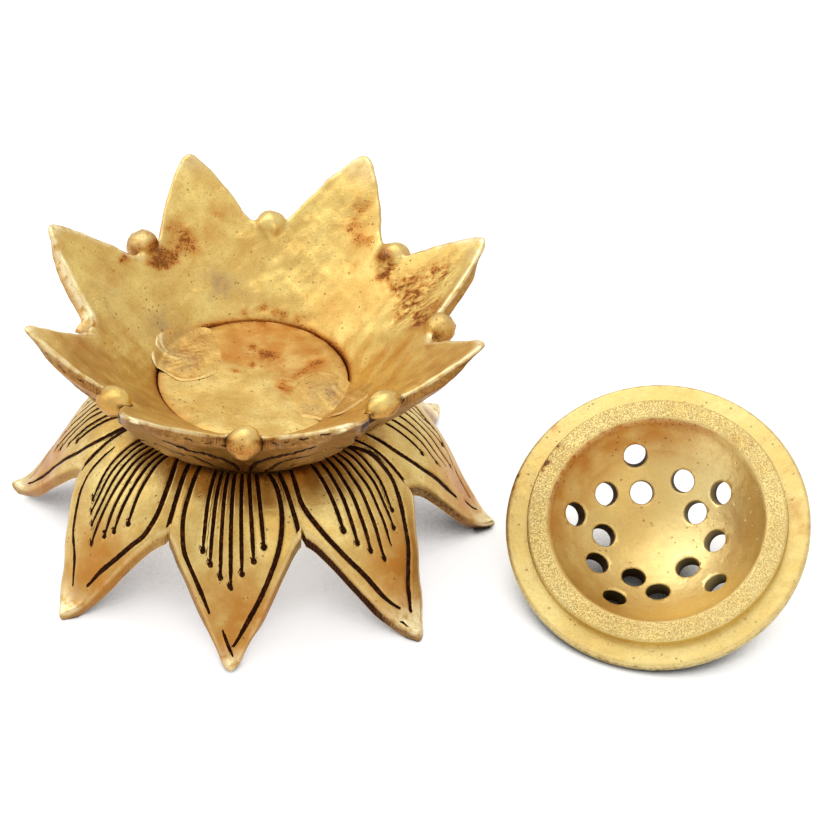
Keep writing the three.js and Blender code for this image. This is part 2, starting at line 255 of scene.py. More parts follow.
def round_sheet(kind: RoundSheet, rows: int, columns: int, name: str) -> tuple[bpy.types.Mesh, Array, Array]:
    """A closed sheet whose vertices lie in rows and columns round the axis.

    Args:
        kind: a ball has a pole at each end, a ring is open along the axis.
        rows: how many rows lie between the poles, or round the ring's section.
        columns: how many columns lie round the axis.
        name: the mesh's name.

    Returns:
        The mesh, each vertex's row (-1 and rows are the poles), and each vertex's column.
    """
    steps = rows + 1 if kind is RoundSheet.BALL else rows
    build = bmesh.new()
    bmesh.ops.create_grid(build, x_segments=columns, y_segments=steps, size=1.0)
    flat = mesh_of(build, name)
    across, down, _ = ((corners_of(flat) + 1) / 2).T
    turn = across * 2 * math.pi
    if kind is RoundSheet.BALL:
        reach, height = np.sin(down * math.pi), np.cos(down * math.pi)
    else:
        reach, height = 2 - np.cos(down * 2 * math.pi), -np.sin(down * 2 * math.pi)
    put_corners(flat, round_axis(reach, turn, height))
    build = bmesh.new()
    build.from_mesh(flat)
    bpy.data.meshes.remove(flat)
    border = [vert for vert in build.verts if vert.is_boundary]
    bmesh.ops.remove_doubles(build, verts=border, dist=1e-5)
    bmesh.ops.recalc_face_normals(build, faces=build.faces[:])
    mesh = mesh_of(build, name)
    points = corners_of(mesh)
    column = np.rint(np.arctan2(points[:, 1], points[:, 0]) / (2 * math.pi) * columns).astype(int) % columns
    if kind is RoundSheet.BALL:
        row = np.rint(np.arccos(np.clip(points[:, 2], -1, 1)) / math.pi * steps).astype(int) - 1
    else:
        lean = np.arctan2(-points[:, 2], 2 - np.hypot(points[:, 0], points[:, 1]))
        row = np.rint(lean / (2 * math.pi) * rows).astype(int) % rows
    return mesh, row, column


# Petals


@dataclass(frozen=True)
class Petal:
    """How one hand-shaped petal departs from the pattern: degrees, millimetres, and its two sides' widths."""

    turn: float = 0.0
    reach: float = 0.0
    lift: float = 0.0
    before: float = 1.0
    after: float = 1.0


@dataclass(frozen=True)
class Columns:
    """Columns round the axis: each one's petal, its degrees from the petal's middle, and what follows from them."""

    petal: Array
    side: Array
    angle: Array
    extra: Array
    lift: Array
    reach: Array

    @property
    def off(self) -> Array:
        """Degrees from the petal's middle, either way."""
        return np.abs(self.side)

    def ways_out(self, step: int, least: float) -> tuple[Array, Array]:
        """The way out of the outline at each column, as seen from above.

        Args:
            step: how many columns away the neighbours are that it is taken from.
            least: the least share of it that counts as leading away from the axis.

        Returns:
            The ways as unit vectors, and the share of each that leads away from the axis.
        """
        plan = np.stack([self.reach * np.cos(self.angle), self.reach * np.sin(self.angle)], -1)
        along = np.roll(plan, -step, axis=0) - np.roll(plan, step, axis=0)
        out = np.stack([along[:, 1], -along[:, 0]], -1) / np.linalg.norm(along, axis=1, keepdims=True)
        return out, np.clip(np.einsum("ij,ij->i", out, plan) / self.reach, least, 1.0)


@dataclass(frozen=True)
class PetalRing:
    """A ring of pointed petals round the stand's axis, and how far each reaches at each angle."""

    tip: float
    valley: float
    flank: float
    tip_round: float
    power: float
    first_middle: float
    petals: tuple[Petal, ...]
    valleys: tuple[float, ...]

    def spread(self, count: int, power: float = 1.3) -> Columns:
        """Columns round the axis, closer together at the petals' middles where the power is above one.

        Args:
            count: how many columns.
            power: one spaces them evenly.

        Returns:
            The columns.
        """
        position = np.arange(count) / count * PETALS
        petal = np.floor(position + 0.5)
        share = (position - petal) * 2
        side = np.sign(share) * HALF_PITCH * np.abs(share) ** power
        return self.at(petal.astype(int) % PETALS, side)

    def at(self, petal: Array, side: Array) -> Columns:
        """The columns at the given petals and degrees from their middles.

        Args:
            petal: which petal each column is on.
            side: degrees from the petal's middle, at most half a pitch.

        Returns:
            The columns.
        """
        shape = np.array([[p.turn, p.reach, p.lift, p.before, p.after] for p in self.petals])[petal]
        before = side < 0
        valley = np.where(before, petal - 1, petal) % PETALS
        share = np.cos(np.radians(side * 90 / HALF_PITCH)) ** 2
        extra = shape[..., 1] * share + np.array(self.valleys)[valley] * (1 - share)
        width = np.where(before, shape[..., 3], shape[..., 4])
        along = (np.hypot(side, self.tip_round) - self.tip_round) / (self.flank * width)
        along = np.where(along < 1, np.power(np.maximum(along, 0), self.power), along)
        reach = self.tip - (self.tip - self.valley) * soft_min(along, 1.0, 0.2) + extra
        angle = np.radians(self.first_middle + petal * PITCH + side + shape[..., 0] * share)
        return Columns(petal, side, angle, extra, shape[..., 2] * share, reach)


@dataclass(frozen=True)
class Stroke:
    """A line engraved on a petal: its points as (degrees from the middle, distance), and its half width."""

    points: Corners
    half_width: float = 0.5
    depth: float = 0.35

    def path(self, per_span: int = 8) -> Array:
        """The stroke's points, joined by a smooth curve.

        Args:
            per_span: how many points stand for each span.

        Returns:
            One (degrees, distance) row for each point.
        """
        given = np.array(self.points, float)
        if len(given) == 1:
            return np.vstack([given, given + 0.001])
        ends = np.vstack([2 * given[0] - given[1], given, 2 * given[-1] - given[-2]])
        rows = []
        for first, second, third, fourth in zip(ends, ends[1:], ends[2:], ends[3:]):
            for share in np.arange(per_span) / per_span:
                rows.append(0.5 * (2 * second + (third - first) * share
                                   + (2 * first - 5 * second + 4 * third - fourth) * share ** 2
                                   + (3 * second - first - 3 * third + fourth) * share ** 3))
        rows.append(given[-1])
        return np.array(rows)


@dataclass
class CutLines:
    """Distances from the vertices to the nearest engraved line: beyond its edge, and across it in half widths."""

    beyond: Array
    across: Array
    depth: Array

    @classmethod
    def none(cls, shape: tuple[int, ...]) -> "CutLines":
        """No line near any vertex."""
        return cls(np.full(shape, NO_LINE), np.full(shape, NO_LINE), np.zeros(shape))

    def take(self, where: Array, part: "CutLines") -> None:
        """Puts the lines of one part of the sheet in their place.

        Args:
            where: the vertices of that part, as a mask of the sheet.
            part: their distances.
        """
        for name in ("beyond", "across", "depth"):
            getattr(self, name)[where] = getattr(part, name)

    def sunk(self, soft: float = 0.22) -> Array:
        """How deep each vertex is cut."""
        return self.depth * smoothstep(soft, -soft, self.beyond)


class Graver:
    """Engraved lines and dots, kept as close-set samples on the surface."""

    def __init__(self) -> None:
        """Starts with nothing engraved."""
        self.lines: list[Array] = []
        self.dots: list[Array] = []

    def cut(self, path: Array, half_width: float, depth: float) -> None:
        """Takes in one line, or a dot where the path has no length.

        Args:
            path: the line's points on the surface, in millimetres.
            half_width: half of the line's width at its middle.
            depth: how deep it is cut.
        """
        walked = np.concatenate([[0.0], np.cumsum(np.linalg.norm(np.diff(path, axis=0), axis=1))])
        if walked[-1] < DOT_LENGTH:
            self.dots.append(np.array([[*path[0], 0, 0, 0, half_width, depth]]))
            return
        stops = np.linspace(0, walked[-1], max(int(walked[-1] / LINE_STEP), 3))
        place = np.stack([np.interp(stops, walked, path[:, axis]) for axis in range(3)], 1)
        way = np.gradient(place, axis=0)
        way /= np.linalg.norm(way, axis=1, keepdims=True)
        share = stops / walked[-1]
        width = half_width * (0.55 + 0.45 * np.clip(np.minimum(share * 9, (1 - share) * 7), 0, 1))
        self.lines.append(np.column_stack([place, way, width, np.full(len(stops), depth)]))

    def measure(self, points: Array, normals: Array) -> CutLines:
        """Finds the nearest line or dot to each vertex.

        Args:
            points: the vertices, one row each.
            normals: the way out of the surface at each of them.

        Returns:
            The distances.
        """
        found = CutLines.none((len(points),))
        for kept in (self.lines, self.dots):
            if not kept:
                continue
            samples = np.vstack(kept)
            tree = KDTree(len(samples))
            for number, place in enumerate(samples[:, :3]):
                tree.insert(place, number)
            tree.balance()
            near = samples[[tree.find(point)[1] for point in points]]
            away = points - near[:, :3]
            distance = np.linalg.norm(away, axis=1)
            width = near[:, 6]
            aside = away - np.einsum("ij,ij->i", away, near[:, 3:6])[:, None] * near[:, 3:6]
            way = np.sign(np.einsum("ij,ij->i", np.cross(near[:, 3:6], aside), normals) + 1e-9)
            nearer = distance - width < found.beyond
            found.beyond = np.where(nearer, distance - width, found.beyond)
            found.across = np.where(nearer, way * np.linalg.norm(aside, axis=1) / width, found.across)
            found.depth = np.where(nearer, near[:, 7], found.depth)
        return found


def surface_normals(points: Array) -> Array:
    """The way out of a sheet of rows and columns that closes round the axis.

    Args:
        points: the sheet, indexed by row and column.

    Returns:
        One unit vector for each point.
    """
    down = np.gradient(points, axis=0)
    around = np.roll(points, -1, axis=1) - np.roll(points, 1, axis=1)
    normal = np.cross(down, around)
    return normal / np.maximum(np.linalg.norm(normal, axis=-1, keepdims=True), 1e-9)


def run_along_edge(edge: Array, petal: Array, side: Array) -> Array:
    """Distance along a petal's edge from its tip, the same way on both sides.

    Args:
        edge: the edge's points, one for each column.
        petal: each column's petal.
        side: each column's degrees from its petal's middle.

    Returns:
        One distance for each column, in millimetres.
    """
    walked = np.concatenate([[0.0], np.cumsum(np.linalg.norm(np.diff(edge, axis=0), axis=1))])
    total = walked[-1] + np.linalg.norm(edge[0] - edge[-1])
    run = np.zeros(len(edge))
    for number in range(PETALS):
        own = petal == number
        middle = np.argmin(np.where(own, np.abs(side), FAR))
        gap = np.abs(walked - walked[middle])
        run = np.where(own, np.minimum(gap, total - gap), run)
    return run


@dataclass(frozen=True)
class Spot:
    """A stain or a rub: its place about the stand's axis, its size, its strength, and how much taller it is."""

    at: Triple
    size: float
    strength: float = 1.0
    tall: float = 1.0

    def on(self, points: Array) -> Array:
        """How strong the spot is at each point."""
        away = (points - np.array(self.at)) * np.array([1.0, 1.0, 1.0 / self.tall])
        return self.strength * hump(np.linalg.norm(away, axis=-1), self.size)


def spots(*rows: tuple[float, ...]) -> tuple[Spot, ...]:
    """Spots from rows of x, y, height and size, then strength and how much taller where they aren't one."""
    return tuple(Spot(row[:3], *row[3:]) for row in rows)


def all_spots(marks: tuple[Spot, ...], points: Array) -> Array:
    """The strongest of several spots at each point, with ragged outlines.

    Args:
        marks: the spots.
        points: the places, one row each.

    Returns:
        One strength for each point.
    """
    found = np.zeros(points.shape[:-1])
    shifts = [waves(points, 7.0, 60 + axis) + 0.5 * waves(points, 2.6, 70 + axis) for axis in range(3)]
    points = points + 0.9 * np.stack(shifts, -1)
    for spot in marks:
        found = np.maximum(found, spot.on(points))
    return found


# Finishes


class Board:
    """A node tree, with a short call for each kind of node that is used often."""

    def __init__(self, owner: bpy.types.Material | bpy.types.World) -> None:
        """Starts an empty tree.

        Args:
            owner: the material or the world that it belongs to.
        """
        owner.use_nodes = True
        self.tree = owner.node_tree
        self.tree.nodes.clear()

    def node(self, kind: str, inputs: dict[str | int, object]) -> bpy.types.Node:
        """Adds a node.

        Args:
            kind: its type, without the ShaderNode that starts it.
            inputs: a number, a colour or the output to link for each of its inputs.

        Returns:
            The node.
        """
        node = self.tree.nodes.new(f"ShaderNode{kind}")
        for name, value in inputs.items():
            self.put(node.inputs[name], value)
        return node

    def put(self, socket: Socket, value: object) -> None:
        """Sets an input to a number or a colour, or links it.

        Args:
            socket: the input.
            value: what goes into it.
        """
        if isinstance(value, Socket):
            self.tree.links.new(value, socket)
        else:
            socket.default_value = (*value, 1.0) if socket.type == "RGBA" else value

    @cached_property
    def place(self) -> Socket:
        """The place on the piece."""
        return self.node("TexCoord", {}).outputs["Object"]

    def attribute(self, name: str) -> Socket:
        """One of the mesh's stored numbers.

        Args:
            name: its name.

        Returns:
            The number.
        """
        node = self.node("Attribute", {})
        node.attribute_name = name
        return node.outputs["Fac"]

    def noise(self, size: float, detail: float = 3.0, rough: float = 0.55,
              stretch: Triple = (1, 1, 1), shift: float = 0.0) -> Socket:
        """Noise from 0 to 1 about 0.5, whose features are the given size in millimetres.

        Args:
            size: size of the features.
            detail: how many finer layers it has.
            rough: how strong the finer layers are.
            stretch: scale along x, y and z.
            shift: a move, so that two noises differ.

        Returns:
            The noise.
        """
        move = (shift, shift * 0.7, -shift)
        mapping = self.node("Mapping", {"Vector": self.place, "Scale": stretch, "Location": move})
        return self.node("TexNoise", {"Vector": mapping.outputs["Vector"], "Scale": 1.0 / (size * MM),
                                      "Detail": detail, "Roughness": rough}).outputs["Fac"]

    def cells(self, size: float) -> Socket:
        """Distance to the nearest of scattered points that are about the given size apart."""
        return self.node("TexVoronoi", {"Vector": self.place, "Scale": 1.0 / (size * MM)}).outputs["Distance"]

    def math(self, operation: str, *values: object) -> Socket:
        """A sum, product or other operation on numbers.

        Args:
            operation: the node's name for it.
            values: the numbers.

        Returns:
            The result.
        """
        node = self.node("Math", dict(enumerate(values)))
        node.operation = operation
        return node.outputs["Value"]

    def add(self, *values: object) -> Socket:
        """The sum of several numbers.

        Args:
            values: the numbers.

        Returns:
            The sum.
        """
        total = values[0]
        for value in values[1:]:
            total = self.math("ADD", total, value)
        return total

    def times(self, first: object, second: object) -> Socket:
        """The product of two numbers."""
        return self.math("MULTIPLY", first, second)

    def ramp(self, value: object, low: float, high: float, start: float = 0.0, end: float = 1.0) -> Socket:
        """A smooth change from start to end as the value goes from low to high.

        Args:
            value: the value.
            low: where it starts.
            high: where it ends.
            start: the result up to low.
            end: the result from high on.

        Returns:
            The result.
        """
        node = self.node("MapRange", {"Value": value, "From Min": low, "From Max": high,
                                      "To Min": start, "To Max": end})
        node.interpolation_type = "SMOOTHSTEP"
        return node.outputs["Result"]

    def mix(self, share: object, first: object, second: object) -> Socket:
        """A mix of two colours.

        Args:
            share: how much of the second there is.
            first: the first colour.
            second: the second.

        Returns:
            The mixed colour.
        """
        node = self.node("Mix", {"Factor": share})
        node.data_type = "RGBA"
        colours = [socket for socket in node.inputs if socket.type == "RGBA"]
        self.put(colours[0], first)
        self.put(colours[1], second)
        return next(socket for socket in node.outputs if socket.type == "RGBA")

    def bump(self, height: object, depth: float, normal: object = None) -> Socket:
        """Relief whose full height is the given millimetres, on other relief where there is some."""
        below = {} if normal is None else {"Normal": normal}
        return self.node("Bump", {"Height": height, "Distance": depth * MM} | below).outputs["Normal"]


def srgb(red: int, green: int, blue: int) -> Triple:
    """A colour as seen on a screen, made linear."""
    parts = [value / 255 for value in (red, green, blue)]
    return tuple(part / 12.92 if part <= 0.04045 else ((part + 0.055) / 1.055) ** 2.4 for part in parts)


@dataclass(frozen=True)
class AgedBrass:
    """Antique cast brass: bright where worn, brown in the dark wash, with painted highlights and painted shade."""

    name: str
    light: Triple = srgb(230, 203, 122)
    mid: Triple = srgb(207, 170, 94)
    dull: Triple = srgb(162, 118, 64)
    # The edge faces' colour: the dark wash on their hatched faces, and partly painted shade
    edge: Triple = srgb(122, 84, 46)
    amber: Triple = srgb(184, 124, 54)
    patina_and_shade: Triple = srgb(172, 98, 40)
    deep: Triple = srgb(104, 54, 24)
    # The groove colour also paints shade in creases, corners and bores
    groove: Triple = srgb(46, 24, 14)
    # Worn brass, also the colour of painted highlights
    rub_and_highlight_colour: Triple = srgb(252, 236, 190)
    smudge: Triple = srgb(164, 132, 92)
    roughness: float = 0.36
    grain: float = 0.03
    cast: float = 0.16
    speckle: float = 0.5
    blotch: float = 0.14
    granular: float = 0.42
    mottle: float = 1.0
    hatch_step: float = 0.95

    def material(self) -> bpy.types.Material:
        """Builds the finish from the piece's place and its stored numbers.

        Returns:
            The material.
        """
        material = bpy.data.materials.new(self.name)
        board = Board(material)
        fine, middle, broad = board.noise(0.9, 4), board.noise(4.5, 4, shift=0.3), board.noise(17, 3, shift=0.9)
        tone = board.add(board.times(broad, 0.45), board.times(middle, 0.35), board.times(fine, 0.2))
        colour = board.mix(board.ramp(tone, 0.40, 0.62), self.mid, self.light)
        blotches = board.ramp(board.noise(8, 5, 0.7, shift=1.7), 0.54, 0.72, 0, self.blotch)
        colour = board.mix(blotches, colour, self.dull)
        colour = board.mix(board.ramp(fine, 0.50, 0.72, 0, 0.6 * self.granular), colour, self.dull)
        rusty = board.times(board.ramp(fine, 0.46, 0.62), board.ramp(board.noise(11, 3, shift=14.0), 0.42, 0.6))
        colour = board.mix(board.times(rusty, 0.55 * self.granular), colour, self.amber)
        grains = board.ramp(board.noise(0.4, 2, 0.6, shift=13.0), 0.54, 0.68, 0, self.granular)
        colour = board.mix(grains, colour, self.dull)
        # Amber: real amber stains, and painted shade under the bowl, on faces that turn down and in the lid's dome
        amber_and_shade = board.times(board.attribute("amber_and_shade"), board.ramp(board.noise(6.5, 4, shift=2.9), 0.3, 0.62, 0.45, 1.0))
        colour = board.mix(amber_and_shade, colour, self.amber)
        smudge = board.times(board.attribute("smudge"), board.ramp(middle, 0.35, 0.6))
        colour = board.mix(smudge, colour, self.smudge)
        # Edge faces darken towards the edge colour: partly the dark wash in their hatching, partly painted shade
        band = board.attribute("band")
        streaks = board.ramp(board.noise(1.6, 5, 0.75, shift=2.3), 0.35, 0.65)
        colour = board.mix(board.times(band, board.ramp(streaks, 0, 1, 0.62, 1.0)), colour, self.edge)
        coarse = board.noise(1.5, 3, 0.6, (0.38, 1.0, 0.9), 11.0)
        # Stains: real patina, and painted shade in hollows and on faces that turn down
        stain_and_shade = board.add(board.attribute("patina_and_shade"), board.times(board.add(middle, -0.5), 0.55 * self.mottle),
                          board.times(board.attribute("coarse"), board.ramp(coarse, 0.36, 0.62, 0.42, -0.5)))
        colour = board.mix(board.ramp(stain_and_shade, 0.08, 0.85, 0, 0.72), colour, self.amber)
        dots = board.times(board.add(board.noise(0.55, 2, 0.6, shift=12.0), -0.5), 2.1)
        colour = board.mix(board.ramp(board.add(stain_and_shade, board.times(dots, 0.5)), 0.5, 1.0, 0, 0.6), colour, self.patina_and_shade)
        colour = board.mix(board.ramp(board.add(stain_and_shade, dots), 0.84, 1.12, 0, 0.7), colour, self.deep)
        speck = board.times(board.ramp(board.cells(1.7), 0.2, 0.09), board.ramp(middle, 0.47, 0.58))
        colour = board.mix(board.times(speck, self.speckle), colour, self.deep)
        grit = board.times(board.attribute("grit"), board.ramp(board.noise(0.36, 2, 0.6, shift=10.0), 0.48, 0.64))
        colour = board.mix(board.times(grit, 0.52), colour, self.dull)
        # Darker towards the groove colour: real grime in the seam, cracks and pits, and painted shade in creases,
        # corners and bores
        grime_and_shade = board.add(board.attribute("grime_and_shade"), board.times(board.add(fine, -0.5), 0.7))
        colour = board.mix(board.ramp(grime_and_shade, 0.35, 0.75, 0, 0.96), colour, self.groove)
        hatch, hatch_shade = self.hatching(board)
        colour = board.mix(board.times(hatch_shade, 0.8), colour, self.deep)
        cut = self.cut_lines(board)
        wash = board.mix(board.ramp(board.noise(1.3, 4, 0.7, shift=3.1), 0.50, 0.68, 0, 0.8), self.groove, self.deep)
        colour = board.mix(cut, colour, wash)
        # Lighter towards the worn colour: real wear on rims and ridges, and painted highlights on tips, beads, bevels
        # and the dome
        rub_and_highlight_share = board.times(board.attribute("wear_and_highlight"), board.ramp(board.noise(2.2, 4, shift=4.0), 0.3, 0.55))
        rub_and_highlight_share = board.times(rub_and_highlight_share, board.ramp(cut, 0.1, 0.4, 1, 0))
        painted_highlight_and_rub = board.times(board.attribute("painted_highlight_and_rub"), board.ramp(fine, 0.3, 0.6, 0.75, 1.0))
        rub_and_highlight_share = board.math("MAXIMUM", rub_and_highlight_share, painted_highlight_and_rub)
        colour = board.mix(rub_and_highlight_share, colour, self.rub_and_highlight_colour)
        dirt = board.math("MAXIMUM", cut, board.ramp(grime_and_shade, 0.35, 0.75))
        rough = board.add(self.roughness, board.times(board.add(middle, -0.5), 0.25), board.times(dirt, 0.3),
                          board.times(rub_and_highlight_share, -0.1), board.times(board.ramp(stain_and_shade, 0.3, 0.9), 0.12))
        normal = board.bump(board.noise(3.2, 3, 0.5, shift=5.0), self.cast)
        normal = board.bump(board.noise(0.42, 4, 0.65, shift=6.0), self.grain, normal)
        normal = board.bump(board.times(board.attribute("coarse"), coarse), 1.1, normal)
        normal = board.bump(board.ramp(cut, 0, 1, 1, 0), 0.16, normal)
        normal = board.bump(board.times(grit, -1.0), 0.07, normal)
        normal = board.bump(board.times(speck, -1.0), 0.12, normal)
        normal = board.bump(hatch, 0.10, normal)
        brass = board.node("BsdfPrincipled", {"Metallic": 1.0, "Base Color": colour, "Roughness": rough,
                                              "Normal": normal})
        board.node("OutputMaterial", {"Surface": brass.outputs["BSDF"]})
        return material

    def cut_lines(self, board: Board) -> Socket:
        """Where the engraved lines are, with edges a little ragged.

        Args:
            board: the node tree.

        Returns:
            One in the lines, nought beside them.
        """
        ragged = board.times(board.add(board.noise(0.8, 3, 0.6, shift=7.0), -0.5), 0.5)
        across = board.math("ABSOLUTE", board.attribute("line_across"))
        inside = board.ramp(board.add(across, ragged), 0.86, 1.12, 1, 0)
        return board.times(inside, board.ramp(board.attribute("line_beyond"), 0.3, 0.55, 1, 0))

    def hatching(self, board: Board) -> tuple[Socket, Socket]:
        """Short strokes across the edge's face: their relief and their shade.

        Args:
            board: the node tree.

        Returns:
            Relief and shade.
        """
        wander = board.times(board.add(board.noise(2.5, 3, shift=8.0), -0.5), 5.0)
        turn = board.add(board.times(board.attribute("edge_run"), 2 * math.pi / self.hatch_step), wander)
        stroke = board.ramp(board.math("SINE", turn), 0.25, 0.95)
        shown = board.times(board.attribute("hatch"), board.ramp(board.noise(3.5, 3, shift=9.0), 0.35, 0.55))
        shade = board.times(stroke, shown)
        return board.times(shade, -1.0), shade


# The seam between the stand's crown and the bowl: degrees round the axis, and how open it is

SEAM = ((-180, 0.95), (-150, 0.9), (-120, 0.6), (-100, 0.35), (-75, 0.12), (-45, 0.15), (-30, 0.3), (4, 0.9),
        (20, 1.0), (60, 0.75), (90, 0.6), (115, 0.75), (123, 0.8), (180, 0.95))


def seam_opening(angle: Array) -> Array:
    """How open the seam is at each angle, from 0 to 1."""
    degrees = (np.degrees(angle) + 180) % 360 - 180
    return np.interp(degrees, *zip(*SEAM))


# The stand


def stamen(points: Corners, half_width: float, dot: float) -> tuple[Stroke, Stroke]:
    """A stamen's line and the dot at its end."""
    return Stroke(points, half_width), Stroke(points[-1:], dot)


STAND_STROKES: dict[int, tuple[Stroke, ...]] = {
    7: (
        Stroke(((-17.4, 38), (-18, 43.5), (-16.7, 46.6), (-15.1, 48.6), (-11.5, 51.5), (-6.4, 54.6), (-2.8, 57.6))),
        Stroke(((8.6, 28.2), (14.4, 34.7), (16.4, 41.2), (15.2, 45.9), (11.5, 48.7), (6.2, 52.3), (3.5, 54.3),
                (1.7, 56.3)), 0.62),
        *stamen(((-13.5, 28), (-12.9, 38), (-9.8, 46.8)), 0.42, 0.75),
        *stamen(((-11, 28), (-10.3, 38), (-7.7, 48.4)), 0.42, 0.7),
        *stamen(((-8.3, 28), (-7.6, 38), (-5.2, 49.6)), 0.45, 0.7),
        *stamen(((-5.4, 28), (-4.8, 38), (-2.8, 51.7)), 0.45, 0.8),
        *stamen(((-2.8, 28), (-2.2, 37), (0.4, 49.7)), 0.45, 0.75),
        *stamen(((0.2, 28), (0.8, 36), (3.1, 48.4)), 0.45, 0.75),
        *stamen(((3, 28), (3.8, 35), (7.1, 46.2)), 0.45, 0.8),
        Stroke(((16.9, 28), (19.9, 34.8), (21.2, 39.4), (22, 43.6), (22.3, 45.6)), 0.6),
    ),
    0: (
        Stroke(((-21.9, 27.7), (-20.2, 35.1), (-19.1, 40.4), (-17.3, 44.3), (-15.2, 46.9), (-11.4, 49.6), (-8.8, 51.3),
                (-6.5, 53.2)), 0.6),
        Stroke(((-2.3, 55.4), (0.2, 58.6)), 0.4),
        Stroke(((13.2, 27.2), (15.7, 32.7), (16.2, 37.6), (15.5, 41.5), (13.6, 45), (10.7, 48.2), (7.5, 51.1),
                (4.2, 53.7), (0.7, 57)), 0.62),
        *stamen(((-13.4, 27.5), (-10.1, 45.8)), 0.48, 0.85),
        *stamen(((-10.1, 27.5), (-7.4, 47.5)), 0.48, 0.85),
        *stamen(((-7.1, 27.5), (-4.1, 49)), 0.48, 0.8),
        *stamen(((-3.9, 27.5), (-1, 50)), 0.5, 0.85),
        *stamen(((-0.2, 27.5), (2.1, 48.3)), 0.48, 0.8),
        *stamen(((3.2, 27.5), (5.6, 46.6)), 0.5, 0.8),
        *stamen(((7, 27.5), (8.9, 44.6)), 0.52, 0.85),
        Stroke(((18.6, 28), (19.9, 35.1), (20.7, 39.8), (21.2, 43), (21.6, 45.6)), 0.6),
    ),
    1: (
        Stroke(((-20.1, 28), (-20.9, 35.5), (-20, 39), (-16.6, 43.3), (-12, 47.9), (-7.3, 52.2), (-3.2, 56.7),
                (-0.9, 58.6)), 0.62),
        Stroke(((14, 28), (18.7, 34.9), (18.2, 40.7), (15.7, 44.5), (13, 47.8), (10.2, 51.1), (7, 54.2),
                (4.1, 56.7), (2.1, 59.8)), 0.8),
        *stamen(((-8.5, 28), (-9.5, 45.1)), 0.52, 0.85),
        *stamen(((-3.6, 28), (-5, 38), (-6.5, 47.9)), 0.5, 0.8),
        *stamen(((0.6, 28), (-1.5, 40), (-3.2, 49.9)), 0.5, 0.85),
        *stamen(((4.5, 28), (2.5, 40), (0, 51.8)), 0.5, 0.8),
        Stroke(((7.6, 28), (6.2, 40), (3.9, 50.4)), 0.45),
        *stamen(((11.3, 28), (9.8, 39), (7.3, 48.6)), 0.45, 0.75),
        *stamen(((14.6, 28), (13.4, 37), (10.1, 46.1)), 0.45, 0.75),
        Stroke(((-2.9, 61), (-1.4, 61), (-0.9, 62.3)), 0.3),
        Stroke(((20.5, 28), (22.2, 37.2), (22.4, 41.9), (22.4, 45.4)), 0.5),
    ),
    2: (
        Stroke(((-17, 30), (-16.6, 38), (-13.6, 43.3), (-7.5, 50), (-4.2, 53.5)), 0.6),
        Stroke(((-0.8, 55.7), (1.6, 58.9)), 0.35),
        Stroke(((18, 30), (19.5, 38), (16, 44.5), (11, 49.5), (7, 53), (3.6, 57)), 0.5),
        *stamen(((15, 28), (14.8, 38), (12.8, 47.4)), 0.42, 0.7),
        *stamen(((11, 28), (10.8, 38), (8.9, 49.4)), 0.42, 0.7),
        *stamen(((7, 28), (6.8, 39), (4.7, 51.7)), 0.42, 0.7),
        Stroke(((3, 28), (3, 38), (1, 50)), 0.42),
        *stamen(((-1, 28), (-1.2, 38), (-2.9, 48)), 0.45, 0.75),
        *stamen(((-4.5, 28), (-5.2, 36), (-6.5, 44.5)), 0.45, 0.75),
        Stroke(((19.5, 28), (21.5, 36), (22.3, 41), (22.5, 45)), 0.5),
    ),
}


